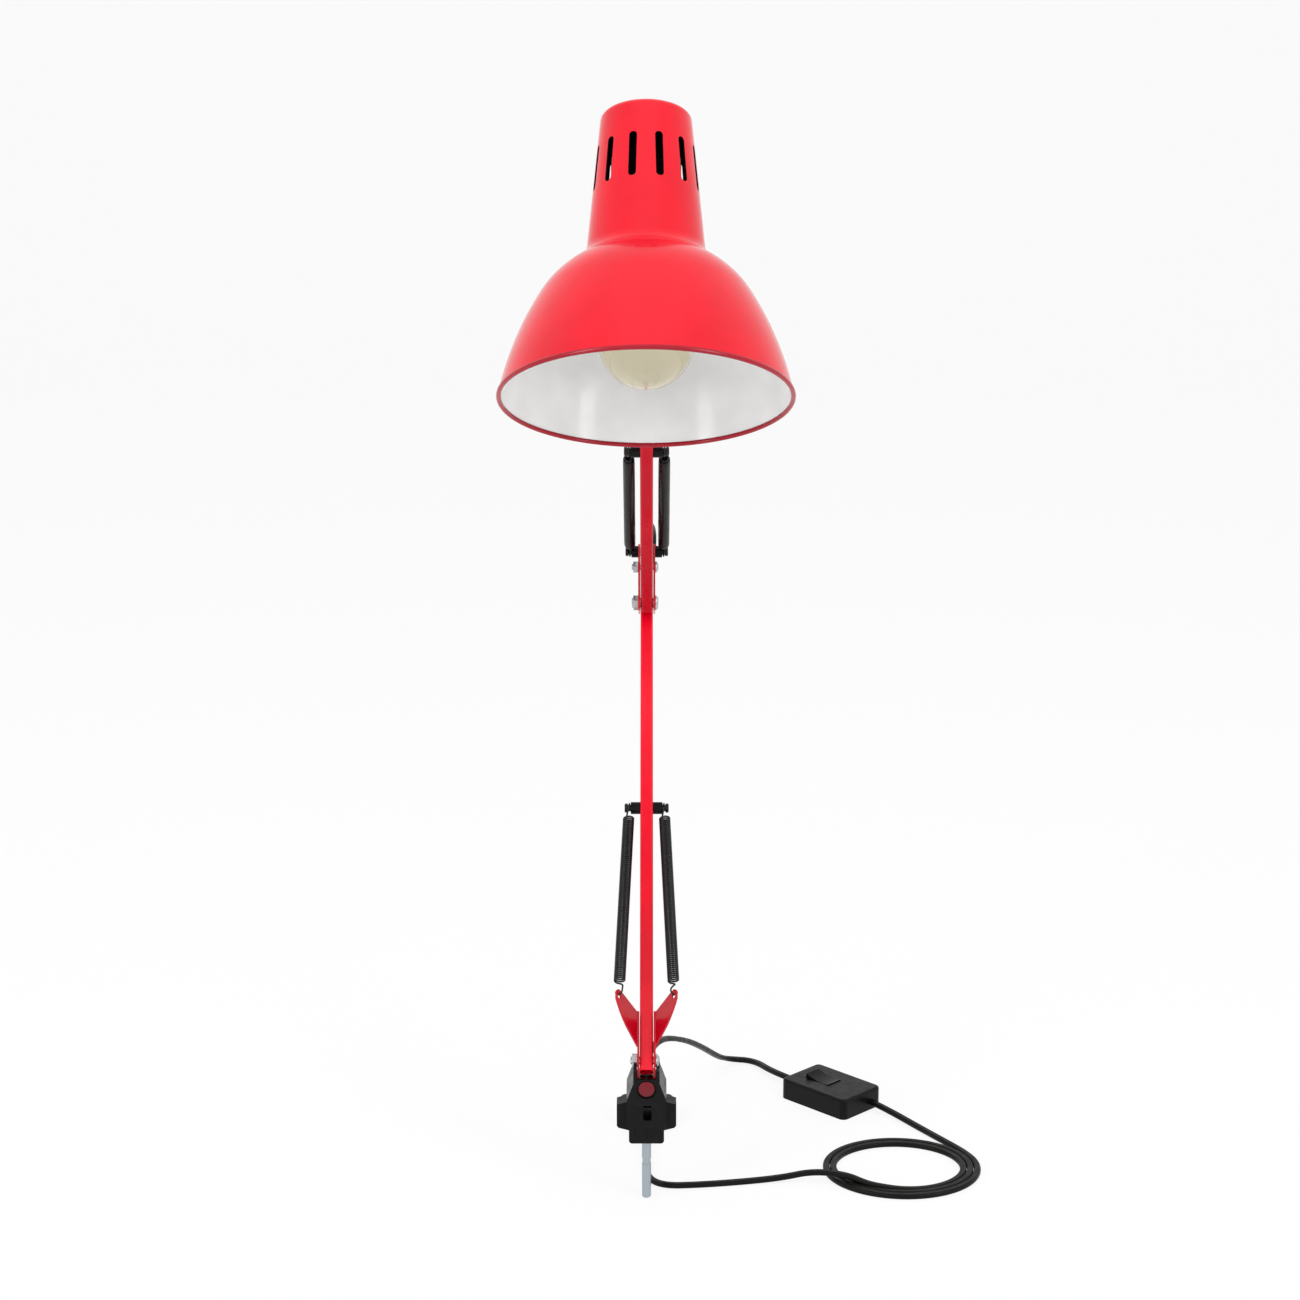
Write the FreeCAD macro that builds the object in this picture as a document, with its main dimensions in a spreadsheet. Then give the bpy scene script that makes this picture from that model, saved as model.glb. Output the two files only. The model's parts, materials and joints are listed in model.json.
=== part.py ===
import FreeCAD, Part
import Sketcher
import math
import os
import re
from FreeCAD import Placement, Rotation, Vector

# Spring-balanced desk lamp: a spigot-mounted foot, two parallel-bar arms, a bell shade and a mains lead.
# The lamp's plane of symmetry is X = 0. -Y is the front, +Z is up, the origin is the spigot's shoulder.

SIZES = {
    # square tubes of the arms
    "bar_width": 8.0,
    "bar_wall": 0.8,
    "bar_edge": 1.2,
    "bar_end": 7.0,
    "lower_length": 315.6,
    "lower_lean": 42.9,
    "upper_length": 300.0,
    "upper_rise": 56.6,
    # pivots and the sheet that carries them
    "pivot_radius": 2.0,
    "pivot_play": 0.05,
    "side_play": 0.3,
    "sheet_gauge": 1.2,
    "head_radius": 3.6,
    "head_height": 2.0,
    "nut_across": 7.0,
    "nut_thick": 3.2,
    "bolt_tip": 1.0,
    "eye_radius": 6.0,
    # places of the pivots, each from the one before it
    "base_pivot_y": -3.0,
    "base_pivot_z": 50.4,
    "lower_pair_y": 17.0,
    "lower_pair_z": -6.0,
    "elbow_step_y": -19.0,
    "elbow_step_z": 5.0,
    "upper_pair_y": 8.0,
    "upper_pair_z": 20.6,
    "head_step_y": -23.4,
    "head_step_z": -8.8,
    # cross rods that carry the springs
    "rod_radius": 2.9,
    "rod_half": 13.8,
    "rod_groove_at": 10.9,
    "rod_groove_width": 1.8,
    "rod_groove_radius": 2.1,
    "lower_rod_at": 167.0,
    "upper_rod_at": 132.0,
    "elbow_rod_y": 9.0,
    "elbow_rod_z": 8.2,
    # springs
    "wire_radius": 0.6,
    "coil_radius": 3.05,
    "lower_curls": 24.0,
    "spring_lead": 9.0,
    "hook_reach": 2.4,
    "sleeve_radius": 3.7,
    "sleeve_wall": 0.6,
    "sleeve_play": 0.3,
    # red foot bracket
    "bracket_front": -7.0,
    "bracket_rear": 24.0,
    "bracket_foot": -14.4,
    "bracket_lip": 5.8,
    "wing_root": 23.1,
    "wing_reach": 20.0,
    "wing_swing": 37.6,
    "wing_hole_along": 26.5,
    "wing_hole_out": 17.3,
    "wing_hole_radius": 1.6,
    # black foot moulding
    "block_top": 47.6,
    "block_cheek": 7.8,
    "block_neck": 39.9,
    "block_skirt": 12.0,
    "block_skirt_z": 28.3,
    "block_front": 12.5,
    "block_rear": 22.0,
    "boss_half": 10.5,
    "boss_top": 9.0,
    "boss_front": 9.0,
    "boss_corner": 2.0,
    "tab_half": 17.8,
    "tab_depth": 11.0,
    "slot_play": 0.3,
    "slot_sill": 42.3,
    "stud_radius": 4.8,
    "stud_recess": 5.9,
    "stud_height": 36.0,
    "stud_depth": 1.4,
    "stem_radius": 2.4,
    "stud_tail": 7.9,
    # spigot
    "spigot_radius": 2.75,
    "spigot_length": 38.5,
    "spigot_chamfer": 0.8,
    "shank_radius": 2.2,
    "shank_length": 20.0,
    "groove_at": 14.7,
    "groove_width": 3.4,
    "groove_radius": 2.45,
    # shade
    "rim_radius": 78.5,
    "rim_bead": 1.3,
    "bell_radius": 58.3,
    "bell_height": 54.0,
    "bell_curve": 185.0,
    "bell_foot_radius": 37.2,
    "bell_foot_height": 76.0,
    "neck_radius": 31.8,
    "neck_height": 84.9,
    "top_radius": 25.0,
    "shade_height": 162.0,
    "shade_wall": 1.0,
    "top_corner": 4.0,
    "shade_tilt": 28.2,
    "slot_count": 12.0,
    "slot_width": 4.3,
    "slot_low": 115.0,
    "slot_high": 141.5,
    "stem_height": 104.0,
    "stem_reach": 55.0,
    "foot_half": 5.3,
    "foot_rise": 13.0,
    "foot_gauge": 2.0,
    "foot_rivet_at": 9.5,
    "foot_rivet": 1.6,
    # lampholder and bulb
    "holder_radius": 19.0,
    "holder_height": 40.0,
    "skirt_radius": 16.8,
    "skirt_low": 87.0,
    "cap_radius": 13.2,
    "cap_play": 0.3,
    "cap_low": 82.0,
    "cap_height": 24.0,
    "globe_radius": 25.8,
    "globe_height": 31.8,
    "glass_neck": 14.0,
    "glass_top": 84.0,
    "glass_wall": 0.8,
    # lead, switch and plug
    "lead_diameter": 3.8,
    "relief_length": 22.0,
    "relief_radius": 4.0,
    "relief_tip": 2.7,
    "lead_exit_z": 30.3,
    "arm_lead_diameter": 3.2,
    "bar_lead_at": 26.0,
    "switch_length": 55.0,
    "switch_width": 37.0,
    "switch_height": 13.5,
    "switch_edge": 4.0,
    "rocker_length": 19.0,
    "rocker_width": 12.0,
    "rocker_play": 0.35,
    "rocker_at": 7.0,
    "rocker_rise": 2.0,
    "rocker_depth": 5.5,
    "rocker_pin": 1.0,
    "rocker_pin_reach": 1.5,
    "rocker_rest": 7.0,
    "coil_wide": 48.8,
    "coil_deep": 43.6,
    "coil_step": 4.4,
    "plug_width": 35.0,
    "plug_height": 13.6,
    "plug_length": 35.0,
    "pin_radius": 2.0,
    "pin_length": 19.0,
    "pin_spread": 18.6,
}

# Where the lead lies on the floor: the switch, the coil and the plug.
SWITCH_AT = (120.4, 145.2)
SWITCH_TURN = -45.0
COIL_AT = (156.5, 38.0)
COIL_START = 31.0
COIL_SWEEP = 864.0
COIL_LIFT = 1.2
PLUG_AT = (0.0, 90.0)

doc = FreeCAD.newDocument("desk_lamp")
sheet = doc.addObject("Spreadsheet::Sheet", "Sizes")
for row, (alias, number) in enumerate(SIZES.items(), 1):
    sheet.set("A%d" % row, alias)
    sheet.set("B%d" % row, str(number))
    sheet.setAlias("B%d" % row, alias)
doc.recompute()

nodes = []


# ---------- values ----------

def cell(text):
    """An expression in which each size's name points at its cell."""
    return re.sub(r"[a-z][a-z_]+", lambda m: "Sizes." + m.group() if m.group() in SIZES else m.group(), text)


def value(text):
    return float(sheet.evalExpression(cell(text)))


def lean(along, angle):
    """(y, z) of a run that leans back from the vertical by angle."""
    turn = math.radians(angle)
    return along * math.sin(turn), along * math.cos(turn)


def yz(start, step):
    return start[0] + step[0], start[1] + step[1]


UPPER_LEAN = value("upper_rise") - 90.0
LOWER_PAIR = (value("lower_pair_y"), value("lower_pair_z"))
UPPER_PAIR = (value("upper_pair_y"), value("upper_pair_z"))
BASE_FRONT = (value("base_pivot_y"), value("base_pivot_z"))
BASE_REAR = yz(BASE_FRONT, LOWER_PAIR)
ELBOW_FRONT = yz(BASE_FRONT, lean(value("lower_length"), value("lower_lean")))
ELBOW_REAR = yz(ELBOW_FRONT, LOWER_PAIR)
ELBOW_LOW = yz(ELBOW_FRONT, (value("elbow_step_y"), value("elbow_step_z")))
ELBOW_HIGH = yz(ELBOW_LOW, UPPER_PAIR)
ELBOW_ROD = yz(ELBOW_HIGH, (value("elbow_rod_y"), value("elbow_rod_z")))
HEAD_LOW = yz(ELBOW_LOW, lean(value("upper_length"), UPPER_LEAN))
HEAD_HIGH = yz(HEAD_LOW, UPPER_PAIR)
TILT_PIVOT = yz(HEAD_LOW, (value("head_step_y"), value("head_step_z")))
LOWER_ROD = yz(BASE_FRONT, lean(value("lower_rod_at"), value("lower_lean")))
UPPER_ROD = yz(ELBOW_LOW, lean(value("upper_rod_at"), UPPER_LEAN))
FLOOR = -value("spigot_length")
SHADE_TURN = Rotation(Vector(1, 0, 0), -value("shade_tilt"))
SHADE_AT = Vector(0, *TILT_PIVOT) - SHADE_TURN.multVec(Vector(0, value("stem_reach"), value("stem_height")))
SHADE = Placement(SHADE_AT, SHADE_TURN)


def leaned(place, angle):
    """Placement that stands a piece's own Z along an arm leaning back by angle."""
    return Placement(Vector(0, *place), Rotation(Vector(1, 0, 0), -angle))


# ---------- sketches and features ----------

def new_body(name):
    body = doc.addObject("PartDesign::Body", name)
    body.Label = name
    return body


def new_sketch(body, role, name, lift=None):
    """Sketch on the body's own origin plane, lifted along the plane's normal."""
    sketch = body.newObject("Sketcher::SketchObject", name)
    support = [f for f in body.Origin.OriginFeatures if f.Role == role][0]
    sketch.AttachmentSupport = [(support, "")]
    sketch.MapMode = "FlatFace"
    if lift:
        sketch.setExpression("AttachmentOffset.Base.z", cell(lift))
    return sketch


def bind(sketch, constraint, text):
    sketch.setExpression("Constraints[%d]" % sketch.addConstraint(constraint), cell(text))


def pin_point(sketch, edge, end, across, up):
    """Hold one end of an edge at (across, up), both expressions."""
    for kind, axis, text in (("DistanceX", -2, across), ("DistanceY", -1, up)):
        if text == "0":
            sketch.addConstraint(Sketcher.Constraint("PointOnObject", edge, end, axis))
        else:
            bind(sketch, Sketcher.Constraint(kind, -1, 1, edge, end, value(text)), text)


def arc_from(start, heading, end):
    """Arc from start, leaving along heading, to end."""
    chord = end - start
    normal = Vector(-heading.y, heading.x, 0)
    side = chord.dot(normal)
    radius = chord.Length ** 2 / (2 * side)
    return arc_about(start + normal * radius, start, end)


def arc_with(start, end, radius):
    """Short arc from start to end; a positive radius turns left."""
    chord = end - start
    normal = Vector(-chord.y, chord.x, 0) * (1 / chord.Length)
    depth = math.sqrt(radius ** 2 - chord.Length ** 2 / 4)
    return arc_about((start + end) * 0.5 + normal * math.copysign(depth, radius), start, end)


def arc_about(centre, start, end):
    """Short arc between two points about centre, stored anticlockwise."""
    middle = (start + end) * 0.5 - centre
    top = centre + middle * ((start - centre).Length / middle.Length)
    if (end - start).cross(centre - start).z < 0:
        start, end = end, start
    return Part.Arc(start, top, end), centre


def outline(sketch, points, arcs=None):
    """Closed outline through points. arcs maps an edge to its radius, or to "tangent" after the edge before."""
    arcs = arcs or {}
    spots = [Vector(value(x), value(y), 0) for x, y in points]
    first = sketch.GeometryCount
    count = len(points)
    heading = None
    for i in range(count):
        start, end = spots[i], spots[(i + 1) % count]
        if i not in arcs:
            sketch.addGeometry(Part.LineSegment(start, end), False)
            heading = (end - start).normalize()
            continue
        if arcs[i] == "tangent":
            curve, centre = arc_from(start, heading, end)
        else:
            curve, centre = arc_with(start, end, value(arcs[i]))
        left = (end - start).cross(centre - start).z > 0
        spoke = end - centre
        heading = Vector(-spoke.y, spoke.x, 0) * ((1 if left else -1) / spoke.Length)
        sketch.addGeometry(curve, False)
    ends = []
    for i in range(count):
        edge = sketch.Geometry[first + i]
        forward = edge.StartPoint.distanceToPoint(spots[i]) < edge.EndPoint.distanceToPoint(spots[i])
        ends.append((1, 2) if forward else (2, 1))
    for i in range(count):
        after = (i + 1) % count
        kind = "Tangent" if arcs.get(after) == "tangent" else "Coincident"
        sketch.addConstraint(Sketcher.Constraint(kind, first + i, ends[i][1], first + after, ends[after][0]))
    for i, (x, y) in enumerate(points):
        pin_point(sketch, first + i, ends[i][0], x, y)
        if i in arcs and arcs[i] != "tangent":
            bind(sketch, Sketcher.Constraint("Radius", first + i, abs(value(arcs[i]))), "abs(%s)" % arcs[i])


def circle(sketch, across, up, radius):
    edge = sketch.addGeometry(Part.Circle(Vector(value(across), value(up), 0), Vector(0, 0, 1), value(radius)), False)
    pin_point(sketch, edge, 3, across, up)
    bind(sketch, Sketcher.Constraint("Radius", edge, value(radius)), radius)


def rounded(sketch, half_x, half_y, corner, mid_x="0", mid_y="0"):
    """Rectangle with round corners about a middle point."""
    x_far, y_far = "(%s)" % half_x, "(%s)" % half_y
    points = []
    for sx, sy, first in ((1, -1, "y"), (1, 1, "x"), (-1, 1, "y"), (-1, -1, "x")):
        edge_x = "%s + %d * %s" % (mid_x, sx, x_far)
        edge_y = "%s + %d * %s" % (mid_y, sy, y_far)
        in_x = "%s - %d * (%s)" % (edge_x, sx, corner)
        in_y = "%s - %d * (%s)" % (edge_y, sy, corner)
        pair = [(in_x, edge_y), (edge_x, in_y)]
        points += pair if first == "y" else pair[::-1]
    outline(sketch, points, {0: corner, 2: corner, 4: corner, 6: corner})


def belt(sketch, eyes):
    """Outline of a plate: a belt round its eyes, each (across, up, radius), listed anticlockwise."""
    spots = [(Vector(value(x), value(y), 0), value(r)) for x, y, r in eyes]
    count = len(spots)
    normals = []
    for i in range(count):
        (a, ra), (b, rb) = spots[i], spots[(i + 1) % count]
        run = b - a
        angle = math.atan2(run.y, run.x) - math.pi / 2
        swing = math.asin((ra - rb) / run.Length)
        normals.append(angle + swing)
    first = sketch.GeometryCount
    for i in range(count):
        spot, radius = spots[i]
        start, end = normals[i - 1], normals[i]
        while end < start:
            end += 2 * math.pi
        sketch.addGeometry(Part.ArcOfCircle(Part.Circle(spot, Vector(0, 0, 1), radius), start, end), False)
    for i in range(count):
        (a, ra), (b, rb) = spots[i], spots[(i + 1) % count]
        out = Vector(math.cos(normals[i]), math.sin(normals[i]), 0)
        sketch.addGeometry(Part.LineSegment(a + out * ra, b + out * rb), False)
    for i in range(count):
        line = first + count + i
        sketch.addConstraint(Sketcher.Constraint("Tangent", first + i, 2, line, 1))
        sketch.addConstraint(Sketcher.Constraint("Tangent", line, 2, first + (i + 1) % count, 1))
    for i, (x, y, r) in enumerate(eyes):
        pin_point(sketch, first + i, 3, x, y)
        bind(sketch, Sketcher.Constraint("Radius", first + i, value(r)), r)


def pad(body, sketch, length, middle=False, back=False):
    feature = body.newObject("PartDesign::Pad", sketch.Name + "_pad")
    feature.Profile = sketch
    feature.setExpression("Length", cell(length))
    feature.Midplane = middle
    feature.Reversed = back
    return feature


def cut(body, sketch, depth, middle=True, back=False):
    """Pocket that takes material away; its volume is compared when the document is checked."""
    feature = body.newObject("PartDesign::Pocket", sketch.Name + "_cut")
    feature.Profile = sketch
    feature.setExpression("Length", cell(depth))
    feature.Midplane = middle
    feature.Reversed = back
    return feature


def turn(body, sketch):
    feature = body.newObject("PartDesign::Revolution", sketch.Name + "_turn")
    feature.Profile = sketch
    feature.ReferenceAxis = (sketch, ["V_Axis"])
    feature.Angle = 360
    return feature


def hollow(body, sketch):
    feature = body.newObject("PartDesign::Groove", sketch.Name + "_groove")
    feature.Profile = sketch
    feature.ReferenceAxis = (sketch, ["V_Axis"])
    feature.Angle = 360
    return feature


def fillet(body, radius, chosen, name):
    """Round the edges of the body so far that chosen picks."""
    doc.recompute()
    base = body.Tip
    names = ["Edge%d" % (i + 1) for i, edge in enumerate(base.Shape.Edges) if chosen(edge)]
    feature = body.newObject("PartDesign::Fillet", name)
    feature.Base = (base, names)
    feature.setExpression("Radius", cell(radius))
    return feature


def node(thing, placement=None):
    if placement is not None:
        thing.Placement = placement
    nodes.append(thing)
    return thing


def solid(name, shape):
    """Sub-part whose shape is worked out from the sheet."""
    thing = doc.addObject("Part::Feature", name)
    thing.Label = name
    thing.Shape = shape
    return node(thing)


def group(name, source, placements):
    """One node of separate, equal solids."""
    doc.recompute()
    shape = source.Shape.copy()
    shape.Placement = Placement()
    copies = [shape.transformed(place.toMatrix(), copy=True) for place in placements]
    return solid(name, Part.makeCompound([s for c in copies for s in c.Solids]))


def lathe(name, points, arcs=None, placement=None, listed=True):
    """Turned piece: points are (radius, height) about its own Z."""
    body = new_body(name)
    sketch = new_sketch(body, "XZ_Plane", name + "_profile")
    outline(sketch, points, arcs)
    turn(body, sketch)
    if listed:
        node(body, placement)
    elif placement is not None:
        body.Placement = placement
    return body


# ---------- arms ----------

def square_bar(name, length, place, angle, rod_at=None, lead_at=None):
    body = new_body(name)
    section = new_sketch(body, "XY_Plane", name + "_section", "-bar_end")
    rounded(section, "bar_width / 2", "bar_width / 2", "bar_edge")
    pad(body, section, length + " + 2 * bar_end")
    bore = new_sketch(body, "XY_Plane", name + "_bore", "-bar_end - 1")
    inner = "bar_width / 2 - bar_wall"
    rounded(bore, inner, inner, "bar_edge - bar_wall / 2")
    cut(body, bore, length + " + 2 * bar_end + 2", middle=False, back=True)
    holes = new_sketch(body, "YZ_Plane", name + "_holes")
    circle(holes, "0", "0", "pivot_radius + pivot_play")
    circle(holes, "0", length, "pivot_radius + pivot_play")
    if rod_at:
        circle(holes, "0", rod_at, "rod_radius")
    cut(body, holes, "bar_width * 2")
    if lead_at:
        inlet = new_sketch(body, "XZ_Plane", name + "_inlet", "-bar_width")
        circle(inlet, "0", lead_at, "arm_lead_diameter / 2 + 0.2")
        cut(body, inlet, "bar_width * 0.75", middle=False, back=True)
    return node(body, leaned(place, angle))


def cross_rod(name, place, angle):
    """Black rod through a bar, grooved near its ends for the spring hooks."""
    grooved = "rod_groove_at - rod_groove_width / 2"
    beyond = "rod_groove_at + rod_groove_width / 2"
    points = [("0", "-rod_half"), ("rod_radius - 0.5", "-rod_half"), ("rod_radius", "-rod_half + 0.5"),
              ("rod_radius", "-(%s)" % beyond), ("rod_groove_radius", "-(%s)" % beyond),
              ("rod_groove_radius", "-(%s)" % grooved), ("rod_radius", "-(%s)" % grooved),
              ("rod_radius", grooved), ("rod_groove_radius", grooved), ("rod_groove_radius", beyond),
              ("rod_radius", beyond), ("rod_radius", "rod_half - 0.5"), ("rod_radius - 0.5", "rod_half"),
              ("0", "rod_half")]
    across = Rotation(Vector(0, 1, 0), 90)
    return lathe(name, points, placement=Placement(Vector(0, *place), across))


# ---------- sheet-metal plates ----------

def plate_pair(name, place, eyes, holes):
    """Two equal plates that straddle the bars, as one node of two solids."""
    plate = new_body(name + "_blank")
    edge = new_sketch(plate, "YZ_Plane", name + "_outline", "bar_width / 2 + side_play")
    belt(edge, eyes)
    pad(plate, edge, "sheet_gauge")
    bores = new_sketch(plate, "YZ_Plane", name + "_bores", "bar_width / 2 + side_play - 1")
    for across, up, radius in holes:
        circle(bores, across, up, radius)
    cut(plate, bores, "sheet_gauge + 2", middle=False, back=True)
    doc.recompute()
    left = plate.Shape.mirror(Vector(0, 0, 0), Vector(1, 0, 0))
    pair = Part.makeCompound([plate.Shape.Solids[0], left.Solids[0]])
    pair.translate(Vector(0, *place))
    return solid(name, pair)


def fasteners():
    """Pan-head bolt and hexagon nut of the pivots, along X, both about the pivot's middle."""
    grip = "bar_width / 2 + side_play + sheet_gauge"
    end = "%s + nut_thick + bolt_tip" % grip
    points = [("0", "-(%s)" % end), ("pivot_radius - 0.4", "-(%s)" % end), ("pivot_radius", "-(%s) + 0.4" % end),
              ("pivot_radius", grip), ("head_radius", grip), ("head_radius", "%s + head_height / 3" % grip),
              ("head_radius / 2", "%s + head_height" % grip), ("0", "%s + head_height" % grip)]
    bolt = lathe("pivot_bolt", points, {5: "head_radius"}, listed=False)
    nut = new_body("pivot_nut")
    flats = new_sketch(nut, "XY_Plane", "nut_flats", "-(%s) - nut_thick" % grip)
    corner = "nut_across / 2 / cos(30)"
    hexagon = [("%s * cos(%d)" % (corner, a), "%s * sin(%d)" % (corner, a)) for a in range(15, 375, 60)]
    outline(flats, hexagon)
    pad(nut, flats, "nut_thick")
    bore = new_sketch(nut, "XY_Plane", "nut_bore", "-(%s) - nut_thick - 1" % grip)
    circle(bore, "0", "0", "pivot_radius")
    cut(nut, bore, "nut_thick + 2", middle=False, back=True)
    return bolt, nut


def across_x(place):
    return Placement(Vector(0, *place), Rotation(Vector(0, 1, 0), 90))


# ---------- wire, springs and lead ----------

def biarc(start, tangent, end, final):
    """Two arcs that leave start along tangent and reach end along final."""
    span = end - start
    alike = 2 * (1 - tangent.dot(final))
    reach = span.dot(tangent + final)
    if alike < 1e-9:
        step = span.Length ** 2 / (2 * reach)
    else:
        step = (-reach + math.sqrt(reach ** 2 + alike * span.Length ** 2)) / alike
    first, last = start + tangent * step, end - final * step
    joint = (first + last) * 0.5
    return [bend(start, first, joint), bend(joint, last, end)]


def bend(start, corner, end):
    """Arc from start to end with both tangents meeting at corner; a line where they don't turn."""
    middle = (start + end) * 0.5
    rise = corner - middle
    if rise.Length < 1e-6:
        return Part.LineSegment(start, end).toShape()
    half = (end - start).Length / 2
    tilt = math.atan2(rise.Length, half)
    top = middle + rise * (half * math.tan(tilt / 2) / rise.Length)
    return Part.Arc(start, top, end).toShape()


def tube(edges, radius, sides=0):
    """Pipe along edges, of round section or with so many flat sides."""
    start = edges[0].valueAt(edges[0].FirstParameter)
    heading = edges[0].tangentAt(edges[0].FirstParameter)
    ring = Part.Circle(start, heading, radius)
    if sides:
        shape = ring.toShape()
        step = (shape.LastParameter - shape.FirstParameter) / sides
        corners = [shape.valueAt(shape.FirstParameter + step * i) for i in range(sides)]
        section = Part.makePolygon(corners + corners[:1])
    else:
        section = Part.Wire([ring.toShape()])
    return Part.Wire(edges).makePipeShell([section], True, False)


def route(points):
    """Straight runs joined by tangent arcs as large as the runs allow; returns the edges and the radii."""
    spots = [Vector(*p) for p in points]
    edges, radii, last = [], [], spots[0]
    for before, corner, after in zip(spots, spots[1:], spots[2:]):
        into, out = corner - before, after - corner
        trim = 0.45 * min(into.Length, out.Length)
        half = into.getAngle(out) / 2
        radii.append(trim / math.tan(half))
        start = corner - into * (trim / into.Length)
        end = corner + out * (trim / out.Length)
        edges.append(Part.LineSegment(last, start).toShape())
        edges.append(bend(start, corner, end))
        last = end
    edges.append(Part.LineSegment(last, spots[-1]).toShape())
    return edges, radii


def lead_run(name, points):
    """Free stretch of the lead as a plain tube; prints its bends and compares its volume."""
    edges, radii = route(points)
    radius = value("lead_diameter") / 2
    shape = tube(edges, radius)
    length = sum(e.Length for e in edges)
    share = shape.Volume / (math.pi * radius ** 2 * length)
    print("%s: length %.1f, least radius %.1f, volume share %.4f" % (name, length, min(radii), share))
    return solid(name, shape)


def hooked_spring(low, high, curls, low_across, low_hook, high_hook):
    """Extension spring from low to high: a straight hook shank, close curls, and a shank to the upper hook."""
    axis = (high - low).normalize()
    side = axis.cross(Vector(1, 0, 0)).normalize()
    other = axis.cross(side)
    radius = value("coil_radius")
    start, end = value("spring_lead"), (high - low).Length - value("spring_lead")
    pitch = (end - start) / curls

    def coil(turns):
        angle = 2 * math.pi * turns
        spot = low + axis * (start + pitch * turns)
        return spot + side * (radius * math.cos(angle)) + other * (radius * math.sin(angle))

    def coil_heading(turns):
        angle = 2 * math.pi * turns
        around = side * -math.sin(angle) + other * math.cos(angle)
        return (around * (2 * math.pi * radius) + axis * pitch).normalize()

    half_turns = int(2 * curls)
    edges = []
    edges += hook(low, axis, low_across, low_hook, coil(0), coil_heading(0))
    for i in range(half_turns):
        a, b = i / 2.0, (i + 1) / 2.0
        edges += biarc(coil(a), coil_heading(a), coil(b), coil_heading(b))
    last = half_turns / 2.0
    edges += backward(high, axis * -1, side, high_hook, coil(last), coil_heading(last) * -1)
    return edges


def hook_line(eye, inward, across, radius, coil_end, coil_heading):
    """Points and headings of a half hook about eye, a shank on the spring's axis and the coil's end."""
    return [(eye + across * radius, inward * -1), (eye - inward * radius, across * -1),
            (eye - across * radius, inward), (eye + inward * (radius + value("spring_lead") * 0.25), inward),
            (coil_end, coil_heading)]


def joined(line):
    edges = []
    for (start, tangent), (end, final) in zip(line, line[1:]):
        edges += biarc(start, tangent, end, final)
    return edges


def hook(*ends):
    return joined(hook_line(*ends))


def backward(*ends):
    """The same hook run from the coil's end out to the tip."""
    return joined([(spot, heading * -1) for spot, heading in reversed(hook_line(*ends))])


# ---------- the arms and their plates ----------

square_bar("lower_front_bar", "lower_length", BASE_FRONT, value("lower_lean"), "lower_rod_at")
square_bar("lower_rear_bar", "lower_length", BASE_REAR, value("lower_lean"))
square_bar("upper_front_bar", "upper_length", ELBOW_LOW, UPPER_LEAN, "upper_rod_at")
square_bar("upper_rear_bar", "upper_length", ELBOW_HIGH, UPPER_LEAN, lead_at="bar_lead_at")
cross_rod("lower_spring_rod", LOWER_ROD, value("lower_lean"))
cross_rod("upper_spring_rod", UPPER_ROD, UPPER_LEAN)
cross_rod("elbow_spring_rod", ELBOW_ROD, 0)

rear_y = "elbow_step_y + upper_pair_y"
rear_z = "elbow_step_z + upper_pair_z"
rod_y = rear_y + " + elbow_rod_y"
rod_z = rear_z + " + elbow_rod_z"
bolt_hole = "pivot_radius + pivot_play"
elbow_eyes = [("elbow_step_y", "elbow_step_z", "eye_radius"), ("lower_pair_y", "lower_pair_z", "eye_radius"),
              (rod_y, rod_z, "eye_radius - 1"), (rear_y, rear_z, "eye_radius")]
elbow_holes = [("elbow_step_y", "elbow_step_z", bolt_hole), ("0", "0", bolt_hole),
               ("lower_pair_y", "lower_pair_z", bolt_hole), (rear_y, rear_z, bolt_hole), (rod_y, rod_z, "rod_radius")]
plate_pair("elbow_plates", ELBOW_FRONT, elbow_eyes, elbow_holes)
head_eyes = [("head_step_y", "head_step_z", "eye_radius"), ("0", "0", "eye_radius"),
             ("upper_pair_y", "upper_pair_z", "eye_radius")]
plate_pair("head_plates", HEAD_LOW, head_eyes, [(y, z, bolt_hole) for y, z, r in head_eyes])

bolt, nut = fasteners()
for name, places in (("base", (BASE_FRONT, BASE_REAR)), ("elbow", (ELBOW_FRONT, ELBOW_REAR, ELBOW_LOW, ELBOW_HIGH)),
                     ("head", (HEAD_LOW, HEAD_HIGH, TILT_PIVOT))):
    group(name + "_bolts", bolt, [across_x(place) for place in places])
    group(name + "_nuts", nut, [across_x(place) for place in places])


# ---------- foot: bracket, moulding, stud and spigot ----------

def wing(side):
    """Leaf-shaped ear bent out of the bracket's side, with the hole for a spring hook."""
    body = new_body("bracket_wing_%s" % ("right" if side > 0 else "left"))
    leaf = new_sketch(body, "XY_Plane", body.Name + "_leaf")
    points = [("0", "-1"), ("wing_root", "-1"), ("wing_root", "0.5"), ("wing_root + 4.5", "wing_reach * 0.5"),
              ("wing_root + 7.6", "wing_reach * 0.86"), ("wing_root + 4.4", "wing_reach"),
              ("wing_root + 1", "wing_reach"), ("wing_root * 0.42", "wing_reach * 0.5")]
    outline(leaf, points, {4: "wing_reach * 0.14", 3: "wing_reach * 2.2", 6: "wing_reach * 3"})
    pad(body, leaf, "sheet_gauge", back=side < 0)
    hole = new_sketch(body, "XY_Plane", body.Name + "_hole")
    circle(hole, "wing_hole_along", "wing_hole_out", "wing_hole_radius")
    cut(body, hole, "sheet_gauge * 4")
    body.Placement = wing_place(side)
    return body


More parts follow.
